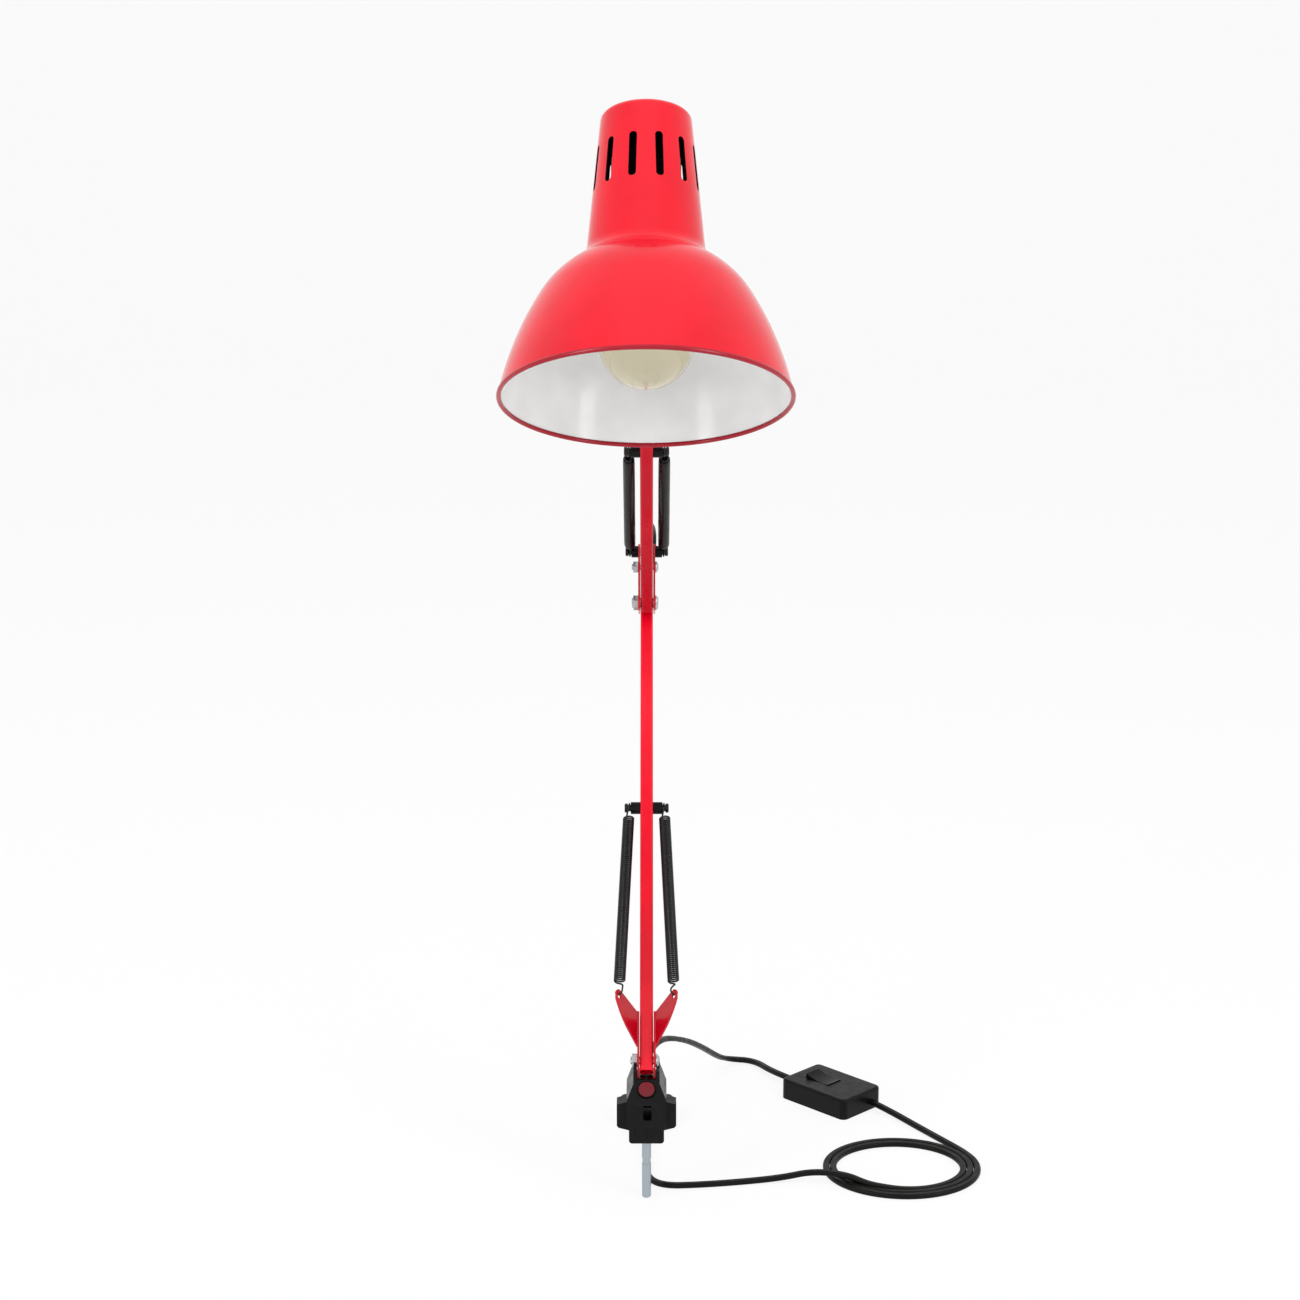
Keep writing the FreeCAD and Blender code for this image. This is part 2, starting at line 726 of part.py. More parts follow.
def wing_place(side):
    """The ear's own X runs along its root and its Y runs out to the tip."""
    along = Vector(0, *WING_RUN).normalize()
    level = along.cross(Vector(1, 0, 0)) * -1
    swing = math.radians(value("wing_swing"))
    out = Vector(side * math.sin(swing), 0, 0) + level * math.cos(swing)
    root = Vector(side * (value("bar_width") / 2 + value("side_play") + value("sheet_gauge")), *WING_FROM)
    return Placement(root, Rotation(along, out, along.cross(out), "XYZ"))


def foot_bracket():
    """U-shaped sheet bracket: web, two sides and two ears."""
    side = new_body("bracket_side")
    face = new_sketch(side, "YZ_Plane", "bracket_side_face", "bar_width / 2 + side_play")
    points = [("bracket_front", "bracket_foot - sheet_gauge"), ("bracket_rear", "bracket_foot - sheet_gauge"),
              ("bracket_rear", "lower_pair_z + 3"), ("bracket_rear - 5", "lower_pair_z + eye_radius + 14"),
              ("wing_end_y", "wing_end_z"), ("wing_from_y", "wing_from_z"), ("bracket_front", "3")]
    outline(face, [(WINGS.get(x, x), WINGS.get(y, y)) for x, y in points])
    pad(side, face, "sheet_gauge")
    bores = new_sketch(side, "YZ_Plane", "bracket_side_bores", "bar_width / 2 + side_play - 1")
    circle(bores, "0", "0", bolt_hole)
    circle(bores, "lower_pair_y", "lower_pair_z", bolt_hole)
    cut(side, bores, "sheet_gauge + 2", middle=False, back=True)
    side.Placement = Placement(Vector(0, *BASE_FRONT), Rotation())
    right, left = wing(1), wing(-1)
    doc.recompute()
    half = value("bar_width") / 2 + value("side_play") + value("sheet_gauge")
    front, rear = BASE_FRONT[0] + value("bracket_front"), BASE_FRONT[0] + value("bracket_rear")
    foot = BASE_FRONT[1] + value("bracket_foot") - value("sheet_gauge")
    gauge = value("sheet_gauge")
    web = Part.makeBox(2 * half, rear - front, gauge, Vector(-half, front, foot))
    lip = Part.makeBox(2 * half, gauge, gauge + value("bracket_lip"), Vector(-half, front, foot))
    stud_axis = Vector(0, front - 1, value("stud_height"))
    bore = Part.makeCylinder(value("stem_radius"), -front - value("stud_tail") + 1, stud_axis, Vector(0, 1, 0))
    mirrored = side.Shape.mirror(Vector(0, 0, 0), Vector(1, 0, 0))
    whole = side.Shape.fuse([mirrored, web, lip, right.Shape, left.Shape]).cut(bore).removeSplitter()
    return solid("base_bracket", whole.Solids[0])


WING_RUN = (17.0, 15.7)
WING_FROM = yz(BASE_FRONT, (-2.0, 10.2))
WINGS = {"wing_from_y": "-2", "wing_from_z": "10.2",
         "wing_end_y": "-2 + wing_root * 0.7347", "wing_end_z": "10.2 + wing_root * 0.6784"}
foot_bracket()


def block():
    """Black moulding: forked neck for the bracket, flared skirt, two grip tabs and a ribbed boss."""
    body = new_body("base_block")
    front = new_sketch(body, "XZ_Plane", "block_face", "-block_rear")
    half = [("boss_half - boss_corner", "0"), ("boss_half", "boss_corner"), ("boss_half", "boss_top"),
            ("block_skirt", "boss_top + 2"), ("block_skirt", "block_skirt_z"), ("block_cheek", "block_neck"),
            ("block_cheek", "block_top")]
    mirror = [("-(%s)" % x, z) for x, z in reversed(half)]
    outline(front, half + mirror, {0: "boss_corner", 12: "boss_corner"})
    pad(body, front, "block_rear + block_front")
    tabs = new_sketch(body, "XZ_Plane", "block_tabs")
    tab = [("block_skirt - 2", "boss_top - 2.2"), ("tab_half - 1", "boss_top - 0.4"), ("tab_half", "boss_top + 1"),
           ("tab_half", "block_skirt_z - 4.7"), ("block_skirt - 2", "block_skirt_z - 2.6")]
    outline(tabs, tab)
    outline(tabs, [("-(%s)" % x, z) for x, z in reversed(tab)])
    pad(body, tabs, "tab_depth", middle=True)
    rear = new_sketch(body, "YZ_Plane", "block_rear_relief")
    outline(rear, [("boss_front", "-1"), ("boss_front", "boss_top"), ("boss_front + 2", "block_skirt_z - 14"),
                   ("block_rear", "block_skirt_z - 5"), ("block_rear + 1", "block_skirt_z - 5"),
                   ("block_rear + 1", "-1")])
    cut(body, rear, "tab_half * 3")
    face = new_sketch(body, "YZ_Plane", "block_front_relief")
    outline(face, [("-boss_front", "-1"), ("-boss_front", "boss_top"), ("-boss_front - 1", "boss_top + 4"),
                   ("-boss_front - 1.6", "block_skirt_z - 4"), ("-block_front", "block_skirt_z"),
                   ("-block_front - 1", "block_skirt_z"), ("-block_front - 1", "-1")])
    cut(body, face, "tab_half * 3")
    slot = new_sketch(body, "YZ_Plane", "block_fork")
    floor = "base_pivot_z + bracket_foot - sheet_gauge"
    outline(slot, [("base_pivot_y + bracket_front - slot_play", floor), ("block_rear + 1", floor),
                   ("block_rear + 1", "block_top + 1"), ("-block_front - 1", "block_top + 1"),
                   ("-block_front - 1", "slot_sill"), ("base_pivot_y + bracket_front - slot_play", "slot_sill")])
    cut(body, slot, "bar_width + 2 * (side_play + sheet_gauge + slot_play)")
    notch = new_sketch(body, "YZ_Plane", "bolt_notches")
    circle(notch, "base_pivot_y", "base_pivot_z", "head_radius + 1")
    outline(notch, [("bracket_front + 15", "block_neck"), ("block_rear + 1", "block_neck"),
                    ("block_rear + 1", "block_top + 1"), ("bracket_front + 18", "block_top + 1")])
    cut(body, notch, "tab_half * 2")
    rib = new_sketch(body, "XY_Plane", "fork_rib", "slot_sill - 1")
    rounded(rib, "0.45", "0.5", "0.1", mid_y="-block_front + 0.55")
    pad(body, rib, "4.6")
    recess = new_sketch(body, "XZ_Plane", "stud_recess_round", "block_front - stud_depth")
    circle(recess, "0", "stud_height", "stud_recess")
    cut(body, recess, "stud_depth + 1", middle=False, back=True)
    bore = new_sketch(body, "XZ_Plane", "stud_bore", "stud_tail")
    circle(bore, "0", "stud_height", "stem_radius")
    cut(body, bore, "block_front - stud_tail", middle=False, back=True)
    window = new_sketch(body, "XZ_Plane", "block_window", "boss_front - 5")
    rounded(window, "2.5", "3.4", "1.2", mid_x="0.5", mid_y="18.6")
    rounded(window, "2.5", "0.6", "0.3", mid_x="0.5", mid_y="24.4")
    cut(body, window, "9", middle=False, back=True)
    ribs = new_sketch(body, "XZ_Plane", "boss_ribs", "boss_front - 0.5")
    for across in (-5.6, -0.6, 1.4, 4.2, 7.8):
        rounded(ribs, "0.5", "5", "0.3", mid_x=str(across), mid_y="8")
    pad(body, ribs, "1.1")
    socket = new_sketch(body, "XY_Plane", "spigot_socket", "-1")
    circle(socket, "0", "0", "shank_radius")
    cut(body, socket, "shank_length + 1", middle=False, back=True)
    return node(body)


block()


def stud():
    """Red stud in the moulding's recess; its stem clamps the bracket's lip."""
    face = "block_front - stud_depth"
    grip = face + " - stud_tail"
    points = [("0", "-(%s)" % grip), ("stem_radius", "-(%s)" % grip), ("stem_radius", "0"), ("stud_radius", "0"),
              ("stud_radius", "0.8"), ("stud_radius / 2", "1.7"), ("0", "1.7")]
    place = Placement(Vector(0, -value(face), value("stud_height")), Rotation(Vector(1, 0, 0), 90))
    lathe("block_stud", points, placement=place)


stud()


def spigot():
    """Plated pin with a latch groove, its shank pressed into the moulding."""
    low, high = "-groove_at - groove_width / 2", "-groove_at + groove_width / 2"
    points = [("0", "-spigot_length"), ("spigot_radius - spigot_chamfer", "-spigot_length"),
              ("spigot_radius", "-spigot_length + spigot_chamfer"), ("spigot_radius", low), ("groove_radius", low),
              ("groove_radius", high), ("spigot_radius", high), ("spigot_radius", "0"), ("shank_radius", "0"),
              ("shank_radius", "shank_length"), ("0", "shank_length")]
    lathe("spigot", points)


spigot()


# ---------- shade, lampholder and bulb ----------

def shade():
    body = new_body("shade")
    shell = new_sketch(body, "XZ_Plane", "shade_outside")
    outline(shell, [("0", "0"), ("rim_radius", "0"), ("bell_radius", "bell_height"),
                    ("bell_foot_radius", "bell_foot_height"), ("neck_radius", "neck_height"),
                    ("top_radius", "shade_height - top_corner"), ("top_radius - top_corner", "shade_height"),
                    ("0", "shade_height")], {1: "bell_curve", 2: "tangent", 3: "tangent", 5: "top_corner * 1.05"})
    turn(body, shell)
    inside = new_sketch(body, "XZ_Plane", "shade_inside")
    outline(inside, [("0", "-1"), ("rim_radius - shade_wall", "-1"), ("rim_radius - shade_wall", "0"),
                     ("bell_radius - shade_wall * 0.86", "bell_height - shade_wall * 0.5"),
                     ("bell_foot_radius - shade_wall * 0.54", "bell_foot_height - shade_wall * 0.84"),
                     ("neck_radius - shade_wall", "neck_height"),
                     ("top_radius - shade_wall", "shade_height - top_corner"),
                     ("top_radius - top_corner", "shade_height - shade_wall"), ("0", "shade_height - shade_wall")],
            {2: "bell_curve", 3: "tangent", 4: "tangent", 6: "(top_corner - shade_wall) * 1.1"})
    hollow(body, inside)
    bead = new_sketch(body, "XZ_Plane", "rim_bead_round")
    circle(bead, "rim_radius - shade_wall / 2", "0", "rim_bead")
    turn(body, bead)
    rivets = new_sketch(body, "XZ_Plane", "shade_rivet_holes", "-neck_radius - 2")
    circle(rivets, "0", "stem_height - foot_rivet_at", "foot_rivet")
    circle(rivets, "0", "stem_height + foot_rivet_at", "foot_rivet")
    cut(body, rivets, "neck_radius / 2", middle=False, back=True)
    slot = new_sketch(body, "XZ_Plane", "shade_slot")
    slot.AttachmentOffset = Placement(Vector(), Rotation(Vector(0, 1, 0), 180 / value("slot_count")))
    mid = "(slot_low + slot_high) / 2"
    rounded(slot, "slot_width / 2", "(slot_high - slot_low) / 2", "slot_width / 2 - 0.3", mid_y=mid)
    vent = cut(body, slot, "neck_radius", middle=False, back=True)
    ring = body.newObject("PartDesign::PolarPattern", "shade_slots")
    ring.Originals = [vent]
    ring.Axis = ([f for f in body.Origin.OriginFeatures if f.Role == "Z_Axis"][0], [""])
    ring.Angle = 360
    ring.setExpression("Occurrences", cell("slot_count"))
    body.Tip = ring
    return node(body, SHADE)


shade()


def shade_stem():
    """Arm riveted to the back of the neck: a flat foot, and a tongue that turns on the tilt bolt."""
    body = new_body("stem_blank")
    tongue = new_sketch(body, "YZ_Plane", "stem_tongue")
    root = "neck_radius"
    belt(tongue, [(root + " + 1", "stem_height - 2", "4"), ("stem_reach", "stem_height", "eye_radius"),
                  (root + " + 1", "stem_height + 2", "4")])
    pad(body, tongue, "bar_width", middle=True)
    foot = new_sketch(body, "YZ_Plane", "stem_foot")
    outline(foot, [("neck_radius - 5", "stem_height - foot_rise"), (root + " + foot_gauge", "stem_height - foot_rise"),
                   (root + " + foot_gauge", "stem_height + foot_rise"), ("neck_radius - 5", "stem_height + foot_rise")])
    pad(body, foot, "foot_half * 2", middle=True)
    eye = new_sketch(body, "YZ_Plane", "stem_eye")
    circle(eye, "stem_reach", "stem_height", "pivot_radius + pivot_play")
    cut(body, eye, "bar_width * 2")
    holes = new_sketch(body, "XZ_Plane", "stem_rivet_holes")
    circle(holes, "0", "stem_height - foot_rivet_at", "foot_rivet")
    circle(holes, "0", "stem_height + foot_rivet_at", "foot_rivet")
    cut(body, holes, "stem_reach * 2")
    doc.recompute()
    low, high = value("neck_height"), value("shade_height - top_corner")
    wide, narrow = value("neck_radius"), value("top_radius")
    neck = Part.makeCone(wide, narrow, high - low, Vector(0, 0, low))
    solid("shade_stem", body.Shape.cut(neck).Solids[0]).Placement = SHADE


shade_stem()


def shade_rivets():
    """Rivets through the foot and the neck, headed outside and upset inside."""
    seat = value("neck_radius + foot_gauge")
    radius, head = value("foot_rivet"), value("foot_rivet * 1.75")
    shapes = []
    for step in (-1, 1):
        height = value("stem_height") + step * value("foot_rivet_at")
        depth = value("foot_gauge") + value("neck_radius") - value("top_radius") * 1.15
        shank = Part.makeCylinder(radius, depth, Vector(0, seat, height), Vector(0, -1, 0))
        cap = Part.makeCylinder(head, 0.9, Vector(0, seat, height), Vector(0, 1, 0))
        shapes.append(shank.fuse(cap).removeSplitter())
    solid("shade_rivets", Part.makeCompound(shapes)).Placement = SHADE


shade_rivets()

holder_low = "shade_height - shade_wall - holder_height"
lathe("lampholder", [("0", "cap_low + cap_height"), ("9", "cap_low + cap_height"), ("9", holder_low),
                     ("holder_radius - 0.8", holder_low), ("holder_radius", holder_low + " + 0.8"),
                     ("holder_radius", "shade_height - shade_wall - 3"),
                     ("holder_radius - 3", "shade_height - shade_wall"), ("0", "shade_height - shade_wall")],
      {5: "3"}, SHADE)
lathe("lampholder_skirt", [("cap_radius + cap_play", "skirt_low"), ("skirt_radius - 0.6", "skirt_low"),
                           ("skirt_radius", "skirt_low + 0.6"), ("skirt_radius", holder_low),
                           ("9", holder_low), ("9", "cap_low + cap_height + 1"),
                           ("cap_radius + cap_play", "cap_low + cap_height + 1")], placement=SHADE)
lathe("bulb_cap", [("0", "cap_low"), ("cap_radius", "cap_low"), ("cap_radius", "cap_low + cap_height - 5"),
                   ("5", "cap_low + cap_height - 1"), ("4.4", "cap_low + cap_height"), ("0", "cap_low + cap_height")],
      placement=SHADE)


def bulb_glass():
    body = new_body("bulb_glass")
    outside = new_sketch(body, "XZ_Plane", "glass_outside")
    waist = ("glass_neck + 3", "globe_height + globe_radius * 0.84")
    outline(outside, [("0", "globe_height - globe_radius"), ("globe_radius", "globe_height"),
                      ("globe_radius * 0.86", "globe_height + globe_radius * 0.5"), ("glass_neck", "glass_top - 14"),
                      ("glass_neck - 2", "cap_low"), ("0", "cap_low")],
            {0: "globe_radius", 1: "tangent", 2: "-globe_radius * 1.6"})
    turn(body, outside)
    inside = new_sketch(body, "XZ_Plane", "glass_inside")
    inner = "(globe_radius - glass_wall)"
    outline(inside, [("0", "globe_height - " + inner), (inner, "globe_height"),
                     ("globe_radius * 0.86 - glass_wall", "globe_height + globe_radius * 0.5 - glass_wall / 2"),
                     ("glass_neck - glass_wall", "glass_top - 14"), ("glass_neck - 2 - glass_wall", "cap_low - 1"),
                     ("0", "cap_low - 1")], {0: inner, 1: "tangent", 2: "-globe_radius * 1.6"})
    hollow(body, inside)
    return node(body, SHADE)


bulb_glass()
lathe("bulb_stem", [("0", "globe_height + 2"), ("1.2", "globe_height + 2"), ("1.6", "glass_top - 22"),
                    ("5", "cap_low - 1.5"), ("5", "cap_low - 1"), ("0", "cap_low - 1")], placement=SHADE)


# ---------- springs ----------

def rod_groove(rod, side):
    return Vector(side * value("rod_groove_at"), *rod)


def wing_hole(side):
    place = wing_place(side)
    middle = value("sheet_gauge") / 2 * side
    spot = Vector(value("wing_hole_along"), value("wing_hole_out"), middle)
    return place.multVec(spot), place.Rotation.multVec(Vector(0, 0, side))


groove_hook = value("rod_groove_radius") + value("wire_radius") + 0.1
for side, word in ((1, "right"), (-1, "left")):
    hole, normal = wing_hole(side)
    top = rod_groove(LOWER_ROD, side)
    axis = (top - hole).normalize()
    across = (normal - axis * normal.dot(axis)).normalize()
    hook_radius = value("hook_reach")
    eye = hole + axis * (hook_radius + value("wing_hole_radius") - value("wire_radius") - 0.1)
    edges = hooked_spring(eye, top, value("lower_curls"), across, hook_radius, groove_hook)
    solid("lower_spring_" + word, tube(edges, value("wire_radius"), 4))


def sleeved_spring(word, side):
    """Spring that hides in its sleeve: a straight close-wound core with a hook at each end."""
    low, high = rod_groove(ELBOW_ROD, side), rod_groove(UPPER_ROD, side)
    axis = (high - low).normalize()
    across = axis.cross(Vector(1, 0, 0)).normalize()
    start = low + axis * (value("spring_lead") - 1)
    end = high - axis * (value("spring_lead") - 1)
    edges = hook(low, axis, across, groove_hook, start, axis)
    edges.append(Part.LineSegment(start, end).toShape())
    back = hook(high, axis * -1, across, groove_hook, end, axis * -1)
    wire = tube(edges, value("wire_radius"), 6)
    far = tube(back, value("wire_radius"), 6)
    core = Part.makeCylinder(value("coil_radius") - 0.4, (end - start).Length, start, axis)
    solid("upper_spring_" + word, wire.fuse([far, core]).removeSplitter())
    play = value("spring_lead")
    sleeve = Part.makeCylinder(value("sleeve_radius"), (high - low).Length - 2 * play, low + axis * play, axis)
    bore = Part.makeCylinder(value("sleeve_radius") - value("sleeve_wall"), (high - low).Length, low, axis)
    return sleeve.cut(bore)


sleeves = [sleeved_spring(word, side) for side, word in ((1, "right"), (-1, "left"))]
solid("upper_spring_sleeves", Part.makeCompound(sleeves))


def rod_sleeves(name, rod, start):
    """Spacer tubes on a cross rod, between what carries it and the hooks' grooves."""
    end = value("rod_groove_at - rod_groove_width / 2") - 0.1
    shapes = []
    for side in (1, -1):
        spot, way = Vector(side * start, *rod), Vector(side, 0, 0)
        outer = Part.makeCylinder(value("rod_radius") + 0.9, end - start, spot, way)
        shapes.append(outer.cut(Part.makeCylinder(value("rod_radius"), end - start, spot, way)))
    solid(name, Part.makeCompound(shapes))


rod_sleeves("lower_rod_sleeves", LOWER_ROD, value("bar_width / 2"))
rod_sleeves("upper_rod_sleeves", UPPER_ROD, value("bar_width / 2"))
rod_sleeves("elbow_rod_sleeves", ELBOW_ROD, value("bar_width / 2 + side_play + sheet_gauge"))


# ---------- lead, switch and plug ----------

lead_radius = value("lead_diameter") / 2
lying = FLOOR + lead_radius + 0.05
relief_from = value("block_rear")
relief_end = relief_from + value("relief_length")
lathe("cord_relief", [("0", "0"), ("relief_radius", "0"), ("relief_radius", "2"), ("relief_radius - 0.6", "2.6"),
                      ("relief_tip", "relief_length"), ("0", "relief_length")],
      placement=Placement(Vector(0, relief_from, value("lead_exit_z")), Rotation(Vector(1, 0, 0), -90)))

heading = math.radians(SWITCH_TURN)
LONG = Vector(math.cos(heading), math.sin(heading), 0)
WIDE = Vector(-LONG.y, LONG.x, 0)
switch_middle = Vector(SWITCH_AT[0], SWITCH_AT[1], 0)
entry_height = FLOOR + value("switch_height") / 2 - 1.6
switch_in = switch_middle - LONG * value("switch_length / 2") + Vector(0, 0, entry_height)
switch_out = switch_middle + LONG * value("switch_length / 2") + WIDE * 8.5 + Vector(0, 0, entry_height)

LEAD = [(0, relief_end, value("lead_exit_z")), (2.2, 61, 32.4), (10.6, 84, 30.6), (25.6, 122, 13.4),
        (37.0, 157, -6.0), (47.5, 187, -24.5), (54.5, 208.5, -34.8), (73.0, 209.5, lying),
        tuple(switch_in - LONG * 24), tuple(switch_in)]
lead_run("cord_lead", LEAD)


def coil_spot(part):
    """Point and heading on the coil, part of the way along its sweep."""
    angle = math.radians(COIL_START - COIL_SWEEP * part)
    drawn = value("coil_step") * COIL_SWEEP * part / 360
    wide, deep = value("coil_wide") - drawn, value("coil_deep") - drawn
    rise = max(0.0, (part - 0.94) / 0.06)
    spot = Vector(COIL_AT[0] + wide * math.cos(angle), COIL_AT[1] + deep * math.sin(angle), lying + COIL_LIFT * rise ** 2)
    slope = 2 * COIL_LIFT * rise / (0.06 * math.radians(COIL_SWEEP))
    return spot, Vector(wide * math.sin(angle), -deep * math.cos(angle), slope).normalize()


def cord_coil():
    """Loops lying on the floor, drawn inward turn by turn."""
    steps = 20
    edges = []
    for i in range(steps):
        a, b = coil_spot(i / steps), coil_spot((i + 1) / steps)
        edges += biarc(a[0], a[1], b[0], b[1])
    shape = tube(edges, lead_radius)
    turn_part = 360 / COIL_SWEEP
    gaps = [(coil_spot(i / 200)[0] - coil_spot(i / 200 + turn_part)[0]).Length for i in range(int(200 - 200 * turn_part))]
    length = sum(e.Length for e in edges)
    share = shape.Volume / (math.pi * lead_radius ** 2 * length)
    gap = min(gaps) - 2 * lead_radius
    print("cord_coil: length %.1f, least gap %.2f, volume share %.4f" % (length, gap, share))
    return solid("cord_coil", shape)


cord_coil()
coil_in, coil_out = coil_spot(0), coil_spot(1)
over = lying + 2 * lead_radius + 0.4
lead_run("cord_link", [tuple(switch_out), tuple(switch_out + LONG * 15 - Vector(0, 0, 1.2)), (172.6, 100.2, lying),
                       tuple(coil_in[0] - coil_in[1] * 22), tuple(coil_in[0])])
lead_run("cord_tail", [tuple(coil_out[0]), tuple(coil_out[0] + coil_out[1] * 9), (121.5, 16.6, over),
                       (101.5, 21.4, over), (82.0, 21.4, lying + 0.6), (57.0, 16.6, lying), (32.0, 12.6, lying),
                       (10.0, 11.2, lying), (0.0, 23.5, lying), (0.6, 46.0, lying), (-0.4, 66.0, lying + 2),
                       (PLUG_AT[0], PLUG_AT[1], FLOOR + value("plug_height") / 2)])

ELBOW_LEAD = [(0, *yz(ELBOW_REAR, lean(4.2, value("lower_lean")))), (0.6, *yz(ELBOW_REAR, lean(16, value("lower_lean")))),
              (4.4, 243.0, 306.0), (5.0, 231.0, 325.0), (2.2, 208.0, 335.0)]


def elbow_lead():
    """Lead that loops out of the lower arm's tube and into the back of the upper arm's."""
    entry = yz(ELBOW_HIGH, lean(value("bar_lead_at"), UPPER_LEAN))
    into = lean(1, UPPER_LEAN + 90)
    face = value("bar_width") / 2
    spots = ELBOW_LEAD + [(0, entry[0] + into[0] * (face + 9), entry[1] + into[1] * (face + 9)),
                          (0, entry[0] + into[0] * (face - 2), entry[1] + into[1] * (face - 2))]
    edges, radii = route(spots)
    print("elbow_lead: least radius %.1f" % min(radii))
    return solid("elbow_lead", tube(edges, value("arm_lead_diameter") / 2))


elbow_lead()


def switch():
    """Rounded box on the lead with a pocket for its rocker."""
    turned = Placement(Vector(SWITCH_AT[0], SWITCH_AT[1], FLOOR), Rotation(Vector(0, 0, 1), SWITCH_TURN))
    body = new_body("switch_body")
    plan = new_sketch(body, "XY_Plane", "switch_plan")
    rounded(plan, "switch_length / 2", "switch_width / 2", "switch_edge")
    pad(body, plan, "switch_height")
    fillet(body, "1.8", lambda e: e.BoundBox.ZMin > value("switch_height") - 0.1, "switch_top_edge")
    pocket = new_sketch(body, "XY_Plane", "rocker_pocket", "switch_height - rocker_depth")
    rounded(pocket, "rocker_length / 2 + 3 * rocker_play", "rocker_width / 2 + rocker_play", "1", mid_x="-rocker_at")
    cut(body, pocket, "rocker_depth + 1", middle=False, back=True)
    pin = new_sketch(body, "XZ_Plane", "rocker_pin_bore")
    circle(pin, "-rocker_at", "switch_height - rocker_rise", "rocker_pin + pivot_play")
    cut(body, pin, "rocker_width + 2 * (rocker_pin_reach + rocker_play)")
    node(body, turned)
    rocker = new_body("switch_rocker")
    side = new_sketch(rocker, "XZ_Plane", "rocker_side")
    outline(side, [("-rocker_length / 2", "-2.2"), ("rocker_length / 2", "-2.2"), ("rocker_length / 2", "3.8"),
                   ("0", "2.4"), ("-rocker_length / 2", "3.8")], {2: "-30", 3: "-30"})
    pad(rocker, side, "rocker_width", middle=True)
    pins = new_sketch(rocker, "XZ_Plane", "rocker_pins")
    circle(pins, "0", "0", "rocker_pin")
    pad(rocker, pins, "rocker_width + 2 * rocker_pin_reach", middle=True)
    rest = Rotation(Vector(0, 1, 0), value("rocker_rest"))
    node(rocker, turned.multiply(Placement(Vector(-value("rocker_at"), 0, value("switch_height - rocker_rise")), rest)))


switch()


def plug():
    """Flat two-pin plug lying on its broad face, its pins pointing back."""
    place = Placement(Vector(PLUG_AT[0], PLUG_AT[1], FLOOR + value("plug_height") / 2), Rotation(Vector(1, 0, 0), -90))
    body = new_body("plug_body")
    small = new_sketch(body, "XY_Plane", "plug_small_end")
    rounded(small, "4.6", "4.2", "2.5")
    large = new_sketch(body, "XY_Plane", "plug_large_end", "plug_length * 0.55")
    rounded(large, "plug_width / 2", "plug_height / 2", "4")
    loft = body.newObject("PartDesign::AdditiveLoft", "plug_shoulder")
    loft.Profile = small
    loft.Sections = [large]
    loft.Ruled = True
    end = new_sketch(body, "XY_Plane", "plug_face", "plug_length * 0.55")
    rounded(end, "plug_width / 2", "plug_height / 2", "4")
    pad(body, end, "plug_length * 0.45")
    node(body, place)
    pin = lathe("plug_pin", [("0", "plug_length - 6"), ("pin_radius", "plug_length - 6"),
                             ("pin_radius", "plug_length + pin_length - 1.2"),
                             ("pin_radius - 1", "plug_length + pin_length"), ("0", "plug_length + pin_length")],
                {2: "1.8"}, listed=False)
    bores = new_sketch(body, "XY_Plane", "plug_pin_bores", "plug_length - 6")
    for side in (1, -1):
        circle(bores, "%d * pin_spread / 2" % side, "0", "pin_radius")
    cut(body, bores, "7", middle=False, back=True)
    spread = value("pin_spread") / 2
    group("plug_pins", pin, [place.multiply(Placement(Vector(s * spread, 0, 0), Rotation())) for s in (1, -1)])


plug()


# ---------- checks and files ----------

def check():
    doc.recompute()
    for thing in doc.Objects:
        if "Invalid" in thing.State or "Error" in thing.State:
            raise RuntimeError("%s isn't sound: %s" % (thing.Name, thing.State))
    for thing in nodes:
        if thing.Shape.isNull() or not thing.Shape.isValid() or not thing.Shape.Solids:
            raise RuntimeError("%s has no sound shape" % thing.Label)


check()
os.makedirs("parts", exist_ok=True)
for thing in nodes:
    thing.Shape.exportStep("parts/%s.step" % thing.Label)
print("%d nodes" % len(nodes))
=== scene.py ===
import json
import math

import bmesh
import bpy
from mathutils import Matrix, Vector


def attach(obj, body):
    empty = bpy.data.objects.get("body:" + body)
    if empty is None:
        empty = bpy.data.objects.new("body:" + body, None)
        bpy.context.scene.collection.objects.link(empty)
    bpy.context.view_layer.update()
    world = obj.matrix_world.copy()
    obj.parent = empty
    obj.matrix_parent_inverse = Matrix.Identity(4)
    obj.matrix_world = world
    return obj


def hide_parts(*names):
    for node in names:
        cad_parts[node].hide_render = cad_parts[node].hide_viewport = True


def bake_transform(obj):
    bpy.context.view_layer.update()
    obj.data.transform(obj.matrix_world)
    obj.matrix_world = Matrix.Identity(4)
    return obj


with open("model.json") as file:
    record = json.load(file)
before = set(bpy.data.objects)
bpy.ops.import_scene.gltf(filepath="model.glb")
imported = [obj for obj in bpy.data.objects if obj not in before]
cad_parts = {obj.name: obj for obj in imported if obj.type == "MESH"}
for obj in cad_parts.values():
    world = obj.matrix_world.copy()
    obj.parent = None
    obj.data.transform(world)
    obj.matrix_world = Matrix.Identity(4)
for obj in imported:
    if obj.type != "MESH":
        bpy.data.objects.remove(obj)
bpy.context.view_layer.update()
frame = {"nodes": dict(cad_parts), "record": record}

# Lengths are millimetres here, and metres once mm() has them.
MM = 0.001


def mm(x, y, z):
    return Vector((x, y, z)) * MM


# ---------- places taken over from the part's source ----------

